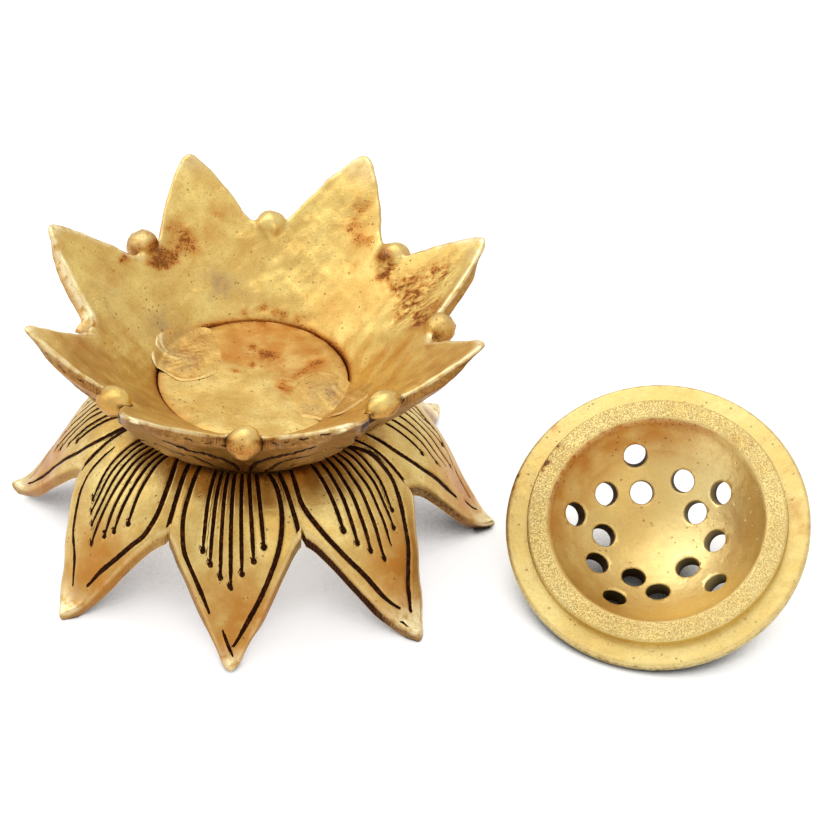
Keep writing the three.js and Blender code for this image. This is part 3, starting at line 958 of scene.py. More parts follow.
@dataclass
class LotusStand:
    """The stand: eight drooping petals round a hollow neck, closed by the crown that fills the bowl's opening."""

    ring: PetalRing = PetalRing(
        tip=64.8, valley=45.7, flank=20.6, tip_round=2.0, power=0.76, first_middle=-91.2,
        petals=(Petal(0.4, -2.0, -1.1, 1.0, 0.97), Petal(-0.2, 1.3, 0.1, 1.09, 1.0),
                Petal(-0.6, -0.7, -0.8, 1.04, 1.12), Petal(0.4, 2.2, -0.4, 1.04, 1.04),
                Petal(-0.4, 0.0, -0.4, 1.04, 1.04), Petal(0.2, 0.4, -0.4, 1.04, 1.04),
                Petal(0.5, -0.8, 2.6, 1.05, 1.05), Petal(1.9, -0.3, -0.7, 1.05, 1.08)),
        valleys=(-2.0, -0.7, 0.0, 0.0, 0.0, 0.0, 0.0, -0.6))
    seat: float = 28.0
    crown_radius: float = 24.2
    crown_rise: float = 8.4
    fall: float = 32.9
    flare: float = 4.0
    shoulder_reach: float = 14.6
    shoulder_rise: float = 0.8
    foot_reach: float = 9.9
    wall: float = 3.6
    dip: float = 1.4
    rake: float = 4.1
    rakes: tuple[float, ...] = (0.85, 0.3, 0.65, 1.0, 1.0, 1.0, 0.5, 0.4)
    rake_angle: float = 5.6
    sole_swell: float = 1.3
    edge_face: float = 3.7
    edge_round: float = 1.1
    hollow_radius: float = 19.2
    hollow_top: float = 3.4
    ripple: float = 0.16
    ripple_size: float = 11.0
    crown_ripple: float = 0.10
    crown_ripple_size: float = 9.0
    spine_points: int = 600
    columns: int = 936
    crown_rows: int = 9
    top_rows: int = 60
    under_rows: int = 14
    finish: AgedBrass = AgedBrass("stand_brass", light=srgb(228, 204, 132), mid=srgb(200, 164, 90))

    def skin(self, radius: Array, cols: Columns, extra_wall: object = 0.0) -> tuple[Array, Array]:
        """The petals' top and the place one wall under it.

        Args:
            radius: distances from the axis, one row for each row.
            cols: the columns.
            extra_wall: what is added to the wall.

        Returns:
            The top's heights above the shoulder, and the (distance, height) pairs one wall under it.
        """
        outward = (radius - self.seat) / (self.ring.tip - self.seat)
        stretch = (self.ring.tip + cols.extra - self.seat) / (self.ring.tip - self.seat)
        wanted = (radius - self.seat) / stretch + self.seat
        share = np.linspace(0, 1, self.spine_points)
        controls = np.array([[self.seat, 0.0], [self.ring.tip - self.shoulder_reach, self.shoulder_rise],
                             [self.ring.tip - self.foot_reach, -self.fall - self.flare], [self.ring.tip, -self.fall]])
        rest = 1 - share
        weights = np.stack([rest ** 3, 3 * share * rest ** 2, 3 * share ** 2 * rest, share ** 3], 1)
        spine = weights @ controls
        slope = np.gradient(spine, axis=0)
        slope /= np.linalg.norm(slope, axis=1, keepdims=True)
        height = np.interp(wanted, spine[:, 0], spine[:, 1])
        along = [np.interp(wanted, spine[:, 0], slope[:, axis]) for axis in (0, 1)]
        outer = smoothstep(self.seat, self.ring.valley, radius)
        height = height - self.dip * (cols.off / HALF_PITCH) ** 2 * outer + cols.lift * outward ** 3
        wall = self.wall + extra_wall
        return height, np.stack([radius + along[1] * wall, height - along[0] * wall], -1)

    def section(self, cols: Columns) -> tuple[Array, Array, Array]:
        """The rows from the crown's middle over a petal, round its edge and back under to the hollow's middle.

        Args:
            cols: the columns.

        Returns:
            Distances and heights, each indexed by row and column, and how much of each row is the edge's face.
        """
        flat = np.ones_like(cols.angle)
        rows: list[tuple[Array, Array, float]] = []
        opening = seam_opening(cols.angle)
        edge = self.crown_radius + 0.26 * (1 - opening)
        for share in (np.arange(self.crown_rows) + 1) / self.crown_rows:
            rows.append(((edge - 0.5) * share, flat * self.crown_rise, 0.0))
        rows.append((edge - 0.14, self.crown_rise - 0.16 * opening, 0.0))
        rows.append((edge, self.crown_rise - 0.5 * opening, 0.0))
        rows.append((flat * self.crown_radius, flat * 0.0, 0.0))
        near_tip = hump(cols.off, self.rake_angle)
        raked = np.array(self.rakes)[cols.petal]
        reach = cols.reach - self.face_set_in(cols) * (1 - 0.6 * raked * hump(cols.off, 2.5))
        inner = reach - self.edge_round
        for share in np.linspace(0, 1, self.top_rows):
            radius = self.seat + (inner - self.seat) * share ** 0.92
            rows.append((radius, self.skin(radius, cols)[0], 0.0))
        rim_height = self.skin(reach, cols)[0]
        for share, band in ((0.35, 0.05), (0.7, 0.3)):
            bend = share * math.pi / 2
            radius = inner + self.edge_round * math.sin(bend)
            top = self.skin(radius, cols)[0]
            rows.append((radius, top - self.edge_round * (1 - math.cos(bend)), band))
        rows.append((reach, rim_height - self.edge_round, 0.9))
        lower = reach - self.rake * near_tip * raked

        def under(radius: Array) -> Array:
            """The petals' underside, swollen near the raked tips."""
            swell = smoothstep(self.ring.valley, self.ring.tip - 2 * self.wall, radius)
            return self.skin(radius, cols, self.sole_swell * near_tip * swell)[1]

        upright = np.stack([reach - 0.1, rim_height - self.edge_face], -1)
        low = upright + (under(lower) - upright) * (near_tip * raked)[:, None]
        for share in (0.3, 0.6, 0.9):
            rows.append((reach + (low[:, 0] - reach) * share ** 2.2,
                         rim_height - self.edge_round + (low[:, 1] - rim_height + self.edge_round) * share, 1.0))
        for share in np.linspace(0, 1, self.under_rows):
            place = under(lower + (self.seat - lower) * share)
            place = low + (place - low) * smoothstep(-0.02, 0.28, np.array(share))
            rows.append((place[..., 0], place[..., 1], 0.0))
        for radius, height in ((self.hollow_radius, self.hollow_top - 1.1), (self.hollow_radius - 1.1, self.hollow_top),
                               (self.hollow_radius * 0.5, self.hollow_top)):
            rows.append((flat * radius, flat * height, 0.0))
        return tuple(np.array(part) for part in zip(*[(r, z, flat * band) for r, z, band in rows]))

    def face_set_in(self, cols: Columns) -> Array:
        """How far the upright edge faces stand in from the outline on the sides that face the front."""
        out, outward = cols.ways_out(1, 0.45)
        return 0.8 * (self.edge_face - self.edge_round) * np.maximum(-out[:, 1], 0) / outward

    def engrave(self, points: Array, normals: Array) -> CutLines:
        """Lays the engraved lines on the petals' tops.

        Args:
            points: the sheet's points about the axis, heights from the shoulder.
            normals: the way out of the sheet.

        Returns:
            The distances to the lines.
        """
        graver = Graver()
        for petal in range(PETALS):
            for stroke in self.strokes(petal):
                graver.cut(self.on_top(petal, stroke.path()), stroke.half_width, stroke.depth)
        lines = CutLines.none(points.shape[:2])
        first = self.crown_rows + 3
        top = np.zeros(points.shape[:2], bool)
        top[first:first + self.top_rows] = True
        lines.take(top, graver.measure(points[top], normals[top]))
        return lines

    def on_top(self, petal: int, path: Array) -> Array:
        """Points of a stroke, from (degrees, distance) to places on the petals' tops.

        Args:
            petal: the petal.
            path: the stroke's points.

        Returns:
            One place for each point.
        """
        side = np.clip(path[:, 0], -HALF_PITCH, HALF_PITCH)
        cols = self.ring.at(np.full(len(path), petal), side)
        height = self.skin(path[:, 1], cols)[0]
        return round_axis(path[:, 1], cols.angle, height)

    def strokes(self, petal: int) -> tuple[Stroke, ...]:
        """The strokes on a petal: its own, or the pattern's with a hand's small departures.

        Args:
            petal: the petal.

        Returns:
            Its strokes.
        """
        if petal in STAND_STROKES:
            return STAND_STROKES[petal]
        rng = np.random.default_rng(40 + petal)
        border = ((20.6, 28), (20.2, 35), (18.8, 40), (15.8, 44.5), (11.4, 48.7), (7.0, 52.3), (3.6, 56), (1.3, 59))
        strokes = []
        for way in (-1, 1):
            shift = rng.uniform(-0.6, 0.6)
            points = tuple((way * (side + shift * (1 - n / 8)), reach) for n, (side, reach) in enumerate(border))
            strokes.append(Stroke(points, rng.uniform(0.5, 0.62)))
        lean = rng.uniform(-1.5, 1.5)
        for side, reach in ((-9.6, 45.4), (-6.5, 47.8), (-3.3, 49.7), (0, 51.3), (3.2, 49.8), (6.4, 47.9), (9.6, 45.5)):
            side, reach = side + rng.uniform(-0.4, 0.4), reach + rng.uniform(-0.5, 0.5)
            strokes += stamen(((side * 1.3 + lean, 28), (side, reach)), 0.47, 0.8)
        strokes.append(Stroke(((21.0, 28), (22.3, 36), (22.5, 45.2)), 0.58))
        return tuple(strokes)

    def build(self) -> bpy.types.Object:
        """Models the stand and gives it its finish.

        Returns:
            The piece.
        """
        cols = self.ring.spread(self.columns)
        radius, height, band = self.section(cols)
        points = round_axis(radius, cols.angle, height)
        normals = surface_normals(points)
        lines = self.engrave(points, normals)
        outer = smoothstep(self.seat + 2, self.seat + 10, radius)
        ripple = self.ripple * outer * waves(points, self.ripple_size, 3)
        points = points + normals * (ripple - lines.sunk())[..., None]
        mesh, row, column = round_sheet(RoundSheet.BALL, len(radius), self.columns, "lotus_stand")
        inside = np.clip(row, 0, len(radius) - 1)
        placed = points[inside, column]
        placed[row < 0] = (0, 0, self.crown_rise)
        placed[row >= len(radius)] = (0, 0, self.hollow_top)
        crown = np.hypot(placed[:, 0], placed[:, 1]) < self.crown_radius - 0.4
        crown &= placed[:, 2] > self.hollow_top + 1
        placed[crown, 2] += self.crown_ripple * (waves(placed[crown], self.crown_ripple_size, 5) - 1)
        placed[:, 2] = np.maximum(placed[:, 2] + PLACE.shoulder_height, 0.0)
        put_corners(mesh, PLACE.from_axis(placed))
        stored = self.marks_and_painted_light(cols, points, band, lines)
        put_values(mesh, {name: values[inside, column] for name, values in stored.items()})
        return finished_piece(mesh, "lotus_stand", Body.BURNER, "petal_stand", self.finish.material())

    def marks_and_painted_light(self, cols: Columns, points: Array, band: Array, lines: CutLines) -> dict[str, Array]:
        """The numbers that the finish reads: real wear, grime and stains, and painted highlights and painted shade.

        Args:
            cols: the columns.
            points: the sheet's points about the axis, heights from the shoulder.
            band: how much of each row is the edge's face.
            lines: the distances to the engraved lines.

        Returns:
            Each kind of number, indexed by row and column.
        """
        radius = np.hypot(points[..., 0], points[..., 1])
        rim = self.crown_rows + 3 + self.top_rows + 1
        run = run_along_edge(points[rim], cols.petal, cols.side)
        rows = np.arange(len(points))[:, None] + np.zeros_like(radius)
        to_rim = np.linalg.norm(points - points[rim][None], axis=-1)
        upper = rows <= rim + 1
        # Rims and, more, tips are lightened: partly wear, partly a painted highlight where the tips flare up towards
        # the lamps
        wear_and_highlight = np.where(rows <= rim - 1, hump(to_rim, 1.3), 0) * 0.45
        tip = smoothstep(56, 63, radius) * upper * 0.8
        # Painted shade on the petals' tops under the bowl's overhang
        neck = smoothstep(34, 28.5, radius) * (radius > 26)
        seam = hump(radius - self.crown_radius, 0.45) * (rows < self.crown_rows + 3) * seam_opening(cols.angle)
        floor = radius < 25
        under = smoothstep(rim + 5, rim + 7, rows)
        # Painted shade on each petal's middle where it curves down towards the camera
        lower = smoothstep(43, 53, radius) * smoothstep(63, 58, radius) * hump(cols.side - 3, 13)
        # Painted shade on the edge faces of petals 1 and 2 that turn towards the camera
        shaded_flank = ((cols.petal == 1) + 0.6 * (cols.petal == 2)) * (cols.side < 4)
        halo = 0.6 * hump(radius - self.crown_radius, 1.2) * seam_opening(cols.angle)
        floor_patina = np.maximum(1.2 * all_spots(FLOOR_STAINS, points), halo) + 0.4 * seam
        amber = smoothstep(0.12, 0.75, all_spots(FLOOR_AMBER, points))
        patina_and_shade = np.where(floor & (rows < self.crown_rows + 3), floor_patina, 0.25 * lower)
        patina_and_shade = patina_and_shade + 0.25 * neck + 0.15 * band + 0.35 * under
        return {
            "band": band * (0.55 + 0.45 * shaded_flank), "edge_run": np.tile(run, (len(points), 1)),
            "hatch": smoothstep(0.5, 1, band) * (0.3 + 0.7 * shaded_flank) * smoothstep(62.5, 58, radius),
            "amber_and_shade": np.clip(lower + 0.55 * neck + 0.35 * band + 0.5 * under, 0, 1) * ~floor + 0.85 * floor * amber,
            "wear_and_highlight": np.maximum(wear_and_highlight, tip) * (1 - under) * (1 - 0.7 * band),
            "grime_and_shade": (0.45 * neck + 0.45 * seam + 0.15 * under + 0.8 * band * shaded_flank * smoothstep(65, 55, radius)
                      + 0.22 * hump(rows - rim - 1, 1.0) * (1 - shaded_flank)),
            "patina_and_shade": patina_and_shade, "smudge": 0.1 * band, "grit": 0.35 * band,
            "line_beyond": lines.beyond, "line_across": lines.across,
        }


# Stains, worn spots and painted highlights, placed about the stand's axis. Heights are from the shoulder on the
# floor, and from the bowl's seat in the rest

FLOOR_STAINS = spots(
    (-0.1, 12.1, 8.4, 2.2), (2.9, 9.1, 8.4, 2.6, 1.1), (5.9, 6.5, 8.4, 2.4, 1.05),
    (-2.9, 4.9, 8.4, 2, 0.95), (11.2, 11.1, 8.4, 1.7, 0.9), (15.9, 7.3, 8.4, 2),
    (13.6, 3.5, 8.4, 2.2), (8.3, -3.3, 8.4, 2, 1.05), (7, -1.1, 8.4, 2.2, 0.8),
    (10.5, 1, 8.4, 2.5, 0.65), (-5.5, 13, 8.4, 4, 0.4), (-7.5, 9, 8.4, 3, 0.5),
    (4, 12.5, 8.4, 4.5, 0.4), (3, 22, 8.4, 4, 0.35), (12.1, -7.8, 8.4, 3, 0.35),
)

FLOOR_AMBER = spots(
    (-4.3, 16, 8.4, 6.5), (1.4, 14.5, 8.4, 6.5), (6.9, 16.9, 8.4, 6.5), (12.8, 11.7, 8.4, 6),
    (16.5, 7.4, 8.4, 4.5), (9, 4.2, 8.4, 4.5), (-4.8, 8.5, 8.4, 5), (3, 8.5, 8.4, 6),
    (8.4, -3.2, 8.4, 2.6), (0, 20, 8.4, 6), (-14, -14, 8.4, 3, 0.5),
)

BOWL_STAINS = spots(
    (-22, 36.4, 23.2, 4.8, 1.05), (-24.4, 33.2, 22.1, 3.2, 1.15), (-26.7, 31, 21.9, 3, 1.3),
    (-28.6, 29.2, 21.8, 2.6, 1.3), (-24.3, 38.1, 25.4, 4.6, 0.8), (-29.4, 31.7, 23.8, 2.6),
    (-13.4, 45.5, 27.4, 4.2, 0.7), (-14, 40.5, 24, 5, 0.5), (-9, 46, 28.5, 4, 0.5),
    (22.9, 46.3, 31.1, 4, 0.75), (22.1, 42.2, 27.5, 4.2, 0.8), (25, 38, 25.8, 4, 0.95),
    (23.3, 33, 21.5, 2.4, 0.6, 2.2), (30.6, 30.9, 24, 2.8, 1.05), (32.1, 27, 22.7, 3.4, 1.15),
    (34.1, 22.6, 21.9, 4.2, 0.95), (37.4, 22.4, 24.1, 4.6, 0.95), (39.3, 17.5, 23.7, 5.4),
    (36.4, 14.9, 20.6, 4.2, 0.8), (41.1, 8.8, 22.8, 4.6, 1.05), (44.5, 10.4, 25.9, 4.2, 0.85),
    (43.6, 21.9, 28.6, 4.6, 0.85), (47.3, 21.7, 31.4, 3.6, 0.6), (38.2, 1.4, 19.6, 3.6, 0.5),
    (44.4, -5.4, 25.1, 3, 0.7), (-35.7, 26.3, 24.7, 2.4, 1.15), (-43.1, -10, 25.8, 3.8, 0.6, 1.5),
    (-37.6, 18.6, 23.4, 4, 0.45), (-31.7, 16.6, 18.2, 3.5, 0.35), (-4.1, 25.4, 9.6, 2.4, 0.75),
    (0.3, 26, 10, 2.6, 0.85), (5.2, 25.4, 9.6, 2.6, 0.85), (10.5, 23.4, 9.5, 2.4, 0.7),
    (-40, -22, 24, 4, 0.45), (2, 46, 24.5, 3, 0.4), (-18, -19, 10, 3, 0.45),
)

# Bright spots on the bowl's two front tips: partly worn brass, partly painted highlights
TIP_RUBS_AND_HIGHLIGHTS = spots(
    (-24.2, -55.7, 37.6, 1.2), (23.4, -55, 38.2, 1.3), (23.7, -55.6, 37, 1, 0.9),
)

ROUGH_CAST = spots(
    (38.9, 16.4, 22.5, 6), (44.3, 19.8, 27.3, 5.5), (36.6, 22.6, 23.2, 4.5),
    (41, 11.5, 23, 4.5, 0.9), (47.5, 21, 29.5, 4, 0.7), (33, 28, 24, 3, 0.8),
    (22.5, 44, 29.1, 4, 0.4, 1.5), (-22.1, 36.7, 24.2, 4, 0.35),
)

BOWL_SMUDGES = spots(
    (-11.1, 30.1, 15.1, 4.5, 0.9), (-5.7, 27.9, 12.2, 3.5, 0.6), (-25, 14, 12, 5, 0.7),
    (28, -10, 12, 4.5, 0.6), (-36, 12, 22, 5, 0.35), (24, -14, 11, 4, 0.6),
)


# The bowl


@dataclass(frozen=True)
class Bead:
    """A bead in a valley: how much further out, lower and round it is than the pattern, its size and its fillet."""

    further: float
    lower: float
    turn: float
    size: Triple
    blend: float


@dataclass
class LotusBowl:
    """The bowl: eight petals round an open bottom, with a bead cast in each valley."""

    ring: PetalRing = PetalRing(
        tip=60.5, valley=44.8, flank=15.0, tip_round=2.6, power=0.95, first_middle=-67.0,
        petals=(Petal(1.6, 0.3, -0.4), Petal(2.6, -0.6, -0.5, 1.04, 1.04), Petal(0.8, 1.0, -1.5, 0.95, 0.99),
                Petal(-0.6, 1.6, 0.0, 1.0, 0.96), Petal(-0.8, -0.2, 0.7, 0.97, 0.94),
                Petal(-0.3, -0.5, -0.8, 0.98, 0.96), Petal(-0.4, -1.0, 0.8, 0.98, 0.96), Petal(-2.2, 0.8, -1.2)),
        valleys=(1.1, 0.7, 2.4, 0.4, 0.5, -0.8, 0.0, 0.0))
    opening: float = 24.5
    floor_edge: float = 8.8
    seat: float = 28.0
    tip_height: float = 39.0
    sag: float = 0.7
    crease_rise: float = 0.9
    edge_drop: float = 4.2
    rake: float = 2.1
    rake_angle: float = 4.4
    belly: float = 1.6
    bevel_left: float = 2.2
    bevel_right: float = 1.1
    lean: float = 1.4
    edge_round: float = 1.5
    bead_ring: float = 45.3
    bead_sink: float = 2.0
    beads: tuple[Bead, ...] = (
        Bead(-1.1, -1.4, 1.2, (4.9, 3.5, 3.3), 1.2), Bead(0.4, 0.0, 2.9, (4.0, 3.9, 3.9), 1.4),
        Bead(-0.6, 0.8, -0.8, (4.2, 4.4, 4.7), 2.4), Bead(-0.1, 0.8, -1.0, (4.3, 4.0, 4.3), 2.6),
        Bead(0.5, 0.1, -1.1, (4.2, 4.1, 4.0), 1.6), Bead(0.2, 0.5, -1.1, (4.0, 4.0, 3.9), 1.3),
        Bead(0.1, 0.2, 0.5, (4.6, 3.9, 3.6), 1.1), Bead(0.2, 0.8, 0.7, (4.2, 4.0, 4.2), 0.8))
    bead_near: float = 10.0
    bead_root: Triple = (0.0, -0.52, -0.5)
    bead_roughness: float = 0.035
    seam_sink: float = 0.66
    ripples: tuple[tuple[float, float, int], ...] = ((0.13, 9.0, 11), (0.06, 4.0, 12))
    face_rows: int = 7
    columns: int = 1120
    wall_rows: int = 44
    outside_rows: int = 28
    finish: AgedBrass = AgedBrass("bowl_brass")

    def wall_height(self, radius: Array, off: Array, lift: object = 0.0, opening: object = 1.0) -> Array:
        """Height of the inner wall above the seat, sunk to the crown where the seam is closed.

        Args:
            radius: distances from the axis.
            off: degrees from the petal's middle, either way.
            lift: how much higher the petal's tip is.
            opening: how open the seam is.

        Returns:
            The heights.
        """
        share = (radius - self.opening) / (self.ring.tip - self.opening)
        cone = self.floor_edge + (self.tip_height - self.floor_edge) * share
        crease = hump(HALF_PITCH - off, 5) * smoothstep(self.ring.valley - 12, self.ring.valley, radius)
        sink = self.seam_sink * (1 - opening) * smoothstep(self.opening + 4.5, self.opening, radius)
        return cone - 4 * self.sag * share * (1 - share) + self.crease_rise * crease + lift * share ** 2 - sink

    def section(self, cols: Columns) -> tuple[Array, Array, Array]:
        """The rows up the inside, round the petal's edge and down the outside to the seat.

        Args:
            cols: the columns.

        Returns:
            Distances and heights, each indexed by row and column, and how much of each row is the edge's face.
        """
        flat = np.ones_like(cols.angle)
        gape = seam_opening(cols.angle)
        foot = self.wall_height(flat * self.opening, cols.off, 0.0, gape)
        rows: list[tuple[Array, Array, float]] = [
            (flat * self.opening, flat * 0.0, 0.0), (flat * self.opening, foot - 0.5 * gape - 0.02, 0.0),
            (flat * (self.opening + 0.15), foot - 0.12 * gape, 0.0)]
        reach = cols.reach - self.bevel(cols)[0]
        inner = reach - self.edge_round
        first = self.opening + 0.6
        for share in np.linspace(0, 1, self.wall_rows):
            radius = first + (inner - first) * share
            rows.append((radius, self.wall_height(radius, cols.off, cols.lift, gape), 0.0))
        rim = self.wall_height(reach, cols.off, cols.lift)
        for share, band in ((0.25, 0.0), (0.5, 0.15), (0.75, 0.5)):
            bend = share * math.pi / 2
            radius = inner + self.edge_round * math.sin(bend)
            rows.append((radius, self.wall_height(radius, cols.off, cols.lift)
                         - self.edge_round * (1 - math.cos(bend)), band))
        low_radius = cols.reach - self.rake * hump(cols.off, self.rake_angle)
        low_height = self.wall_height(cols.reach, cols.off, cols.lift) - self.edge_drop
        for share in np.linspace(0, 0.93, self.face_rows):
            rows.append((reach + (low_radius - reach) * share,
                         rim - self.edge_round + (low_height - rim + self.edge_round) * share, 1.0))
        across = np.stack([low_height, self.seat - low_radius], -1)
        across /= np.linalg.norm(across, axis=-1, keepdims=True)
        bulge = self.belly * np.cos(np.radians(cols.off * 90 / HALF_PITCH))
        for share in np.linspace(0.02, 1, self.outside_rows):
            out = 4 * bulge * share * (1 - share)
            rows.append((low_radius + (self.seat - low_radius) * share + across[..., 0] * out,
                         low_height * (1 - share) + across[..., 1] * out, 0.0))
        rows.append((flat * (self.seat - 1.5), flat * 0.0, 0.0))
        return tuple(np.array(part) for part in zip(*[(r, z, flat * band) for r, z, band in rows]))

    def bevel(self, cols: Columns) -> tuple[Array, Array]:
        """The bevel on the side petals' flanks.

        Args:
            cols: the columns.

        Returns:
            How far the rim stands in from the outline, and how much of it faces left.
        """
        out, outward = cols.ways_out(3, 0.6)
        turned = np.sin(cols.angle)
        shown = smoothstep(-0.7, -0.3, turned) * smoothstep(0.9, 0.6, turned) * (1 - 0.7 * hump(cols.off, 5))
        left = np.maximum(-out[:, 0], 0) * shown
        right = np.maximum(out[:, 0], 0) * shown
        return (self.bevel_left * left + self.bevel_right * right) / outward, left

    def bead_places(self) -> Array:
        """The beads' middles about the axis, heights from the seat.

        Returns:
            One row for each bead.
        """
        places = []
        for valley in range(PETALS):
            bead = self.beads[valley]
            angle = math.radians(self.ring.first_middle + (valley + 0.5) * PITCH + bead.turn)
            distance = self.bead_ring + self.ring.valleys[valley] + bead.further
            wall = float(self.wall_height(np.array(self.bead_ring), np.array(HALF_PITCH)))
            places.append((distance * math.cos(angle), distance * math.sin(angle), wall - self.bead_sink - bead.lower))
        return np.array(places)

    def swell_beads(self, points: Array) -> tuple[Array, Array, Array]:
        """Pushes the skin near each bead out to the bead's surface, along rays from inside the wall.

        Args:
            points: the sheet's points about the axis, heights from the seat.

        Returns:
            The moved points, each one's distance beyond the nearest bead's foot (negative on the bead), and how
            high on the bead it is, from -1 to 1.
        """
        points = points.copy()
        beyond = np.full(points.shape[:-1], FAR)
        level = np.zeros(points.shape[:-1])
        for number, (bead, middle) in enumerate(zip(self.beads, self.bead_places())):
            near = np.linalg.norm(points - middle, axis=-1) < self.bead_near
            outward = np.array([middle[0], middle[1], 0.0]) / math.hypot(middle[0], middle[1])
            axes = np.array([[-outward[1], outward[0], 0.0], outward, [0.0, 0.0, 1.0]])
            size = float(np.mean(bead.size))
            axes *= size / np.array(bead.size)[:, None]
            places = (points[near] - middle) @ axes.T
            root = np.array(self.bead_root) * size
            way = places - root
            length = np.linalg.norm(way, axis=-1)
            way /= np.maximum(length, 1e-6)[:, None]
            toward = -(way @ root)
            rough = size * (1 + self.bead_roughness * waves(way * 3 + 7 * number, 2.5, 20 + number))
            reach = toward + np.sqrt(toward ** 2 - root @ root + rough ** 2)
            blend = np.maximum(bead.blend - np.abs(length - reach), 0) / bead.blend
            joined = np.maximum(length, reach) + blend ** 2 * bead.blend / 4
            gap = np.linalg.norm(places, axis=-1) - rough
            beyond[near] = np.where(gap < 0, gap, np.minimum(beyond[near], gap))
            placed = root + way * joined[:, None]
            level[near] = np.where(gap < 0.3, placed[:, 2] / size, level[near])
            points[near] = placed @ np.linalg.inv(axes).T + middle
        return points, beyond, level

    def build(self) -> bpy.types.Object:
        """Models the bowl and gives it its finish.

        Returns:
            The piece.
        """
        cols = self.ring.spread(self.columns, 1.0)
        radius, height, band = self.section(cols)
        points = round_axis(radius, cols.angle, height)
        normals = surface_normals(points)
        shown = smoothstep(1.0, 4.0, np.arange(len(points)))[:, None] * smoothstep(0.5, 3.0, height)
        lines = self.engrave(cols, points, normals)
        ripple = sum(height * waves(points, size, seed) for height, size, seed in self.ripples)
        moved = points + normals * (ripple * shown - lines.sunk())[..., None]
        moved, beyond, level = self.swell_beads(moved)
        share = np.maximum(moved[..., 2] - self.floor_edge, 0) / (self.tip_height - self.floor_edge)
        stored = self.marks_and_painted_light(cols, points, band, lines, beyond, level)
        moved[..., 0] += self.lean * share
        mesh, row, column = round_sheet(RoundSheet.RING, len(radius), self.columns, "lotus_bowl")
        placed = moved[row, column] + np.array([0, 0, PLACE.seat_height])
        put_corners(mesh, PLACE.from_axis(placed))
        put_values(mesh, {name: values[row, column] for name, values in stored.items()})
        return finished_piece(mesh, "lotus_bowl", Body.BURNER, "petal_bowl", self.finish.material())

    def cracks(self, cols: Columns, below: Array) -> Array:
        """Dark casting cracks that run along the front petals' edge faces.

        Args:
            cols: the columns.
            below: how many rows each vertex lies below the rim.

        Returns:
            How dark the cracks are.
        """
        depth = below / (self.face_rows + 1)
        found = np.zeros(below.shape)
        for petal, start, end, top, bottom, seed in CRACKS:
            share = np.clip((cols.side - start) / (end - start), 0, 1)
            wander = 0.1 * np.sin(cols.side * 1.1 + seed) + 0.06 * np.sin(cols.side * 2.7 + 2 * seed)
            shown = (cols.petal == petal) * smoothstep(-0.5, 0.3, np.sin(cols.side * 1.7 + 3 * seed))
            shown = shown * smoothstep(start - 1, start + 1, cols.side)
            shown = shown * smoothstep(end + 1, end - 1, cols.side)
            found = np.maximum(found, 0.8 * shown * hump(depth - (top + (bottom - top) * share + wander), 0.1))
        return found

    def engrave(self, cols: Columns, points: Array, normals: Array) -> CutLines:
        """Cuts two outlines and a rib on the outside of each petal.

        Args:
            cols: the columns.
            points: the sheet's points.
            normals: the way out of the sheet.

        Returns:
            The distances to the lines.
        """
        graver = Graver()
        first = len(points) - 1 - self.outside_rows
        for petal in range(PETALS):
            own = np.flatnonzero(cols.petal == petal)
            for stroke in BOWL_STROKES:
                path = stroke.path()
                nearest = own[np.argmin(np.abs(cols.side[own][None, :] - path[:, 0][:, None]), axis=1)]
                level = first + path[:, 1] * (self.outside_rows - 1)
                low = np.clip(np.floor(level).astype(int), first - 6, len(points) - 3)
                mix = (level - low)[:, None]
                graver.cut(points[low, nearest] * (1 - mix) + points[low + 1, nearest] * mix,
                           stroke.half_width, stroke.depth)
        lines = CutLines.none(points.shape[:2])
        outside = np.zeros(points.shape[:2], bool)
        outside[first - 6:] = True
        lines.take(outside, graver.measure(points[outside], normals[outside]))
        return lines

    def marks_and_painted_light(self, cols: Columns, points: Array, band: Array, lines: CutLines,
                       beyond: Array, level: Array) -> dict[str, Array]:
        """The numbers that the finish reads: real wear, grime and stains, and painted highlights and painted shade.

        Args:
            cols: the columns.
            points: the sheet's points about the axis, heights from the seat.
            band: how much of each row is the edge's face.
            lines: the distances to the engraved lines.
            beyond: distance beyond the nearest bead's foot, negative on the bead.
            level: how high on the bead each point is, from -1 to 1.

        Returns:
            Each kind of number, indexed by row and column.
        """
        radius = np.hypot(points[..., 0], points[..., 1])
        gap_inside = np.maximum(-beyond, 0)
        beyond = np.abs(beyond)
        rim = 3 + self.wall_rows + 1
        rows = np.arange(len(points))[:, None] + np.zeros_like(radius)
        run = run_along_edge(points[rim], cols.petal, cols.side)
        to_rim = np.linalg.norm(points - points[rim][None], axis=-1)
        inside = rows <= rim
        outside = smoothstep(rim + 6, rim + 10, rows)
        back = smoothstep(0.35, 0.8, np.sin(cols.angle))[None, :]
        # The rim is lightened, less at the back: partly wear, partly a painted highlight on the rounded rim
        wear_and_highlight = hump(to_rim - 0.9, 1.0) * (0.75 - 0.6 * back) + 0.3 * np.where(inside, smoothstep(54, 60, radius), 0)
        tip_rubs_and_highlights = all_spots(TIP_RUBS_AND_HIGHLIGHTS, points)
        left = self.bevel(cols)[1][None, :]
        tucked = (((cols.petal == 0) * smoothstep(2.5, 6, cols.side))
                  + ((cols.petal == PETALS - 1) * smoothstep(-2.5, -6, cols.side)))[None, :]
        seam = hump(radius - self.opening, 0.38) * inside * seam_opening(cols.angle)
        halo = 0.65 * hump(radius - self.opening, 1.5) * inside * seam_opening(cols.angle)
        # A dark crease round each bead's foot, strongest at the front: partly dirt, partly painted shade
        crevice = hump(beyond, 0.55)
        front = smoothstep(0.2, -0.6, np.sin(cols.angle))[None, :]
        bead = smoothstep(0.0, 0.8, gap_inside)
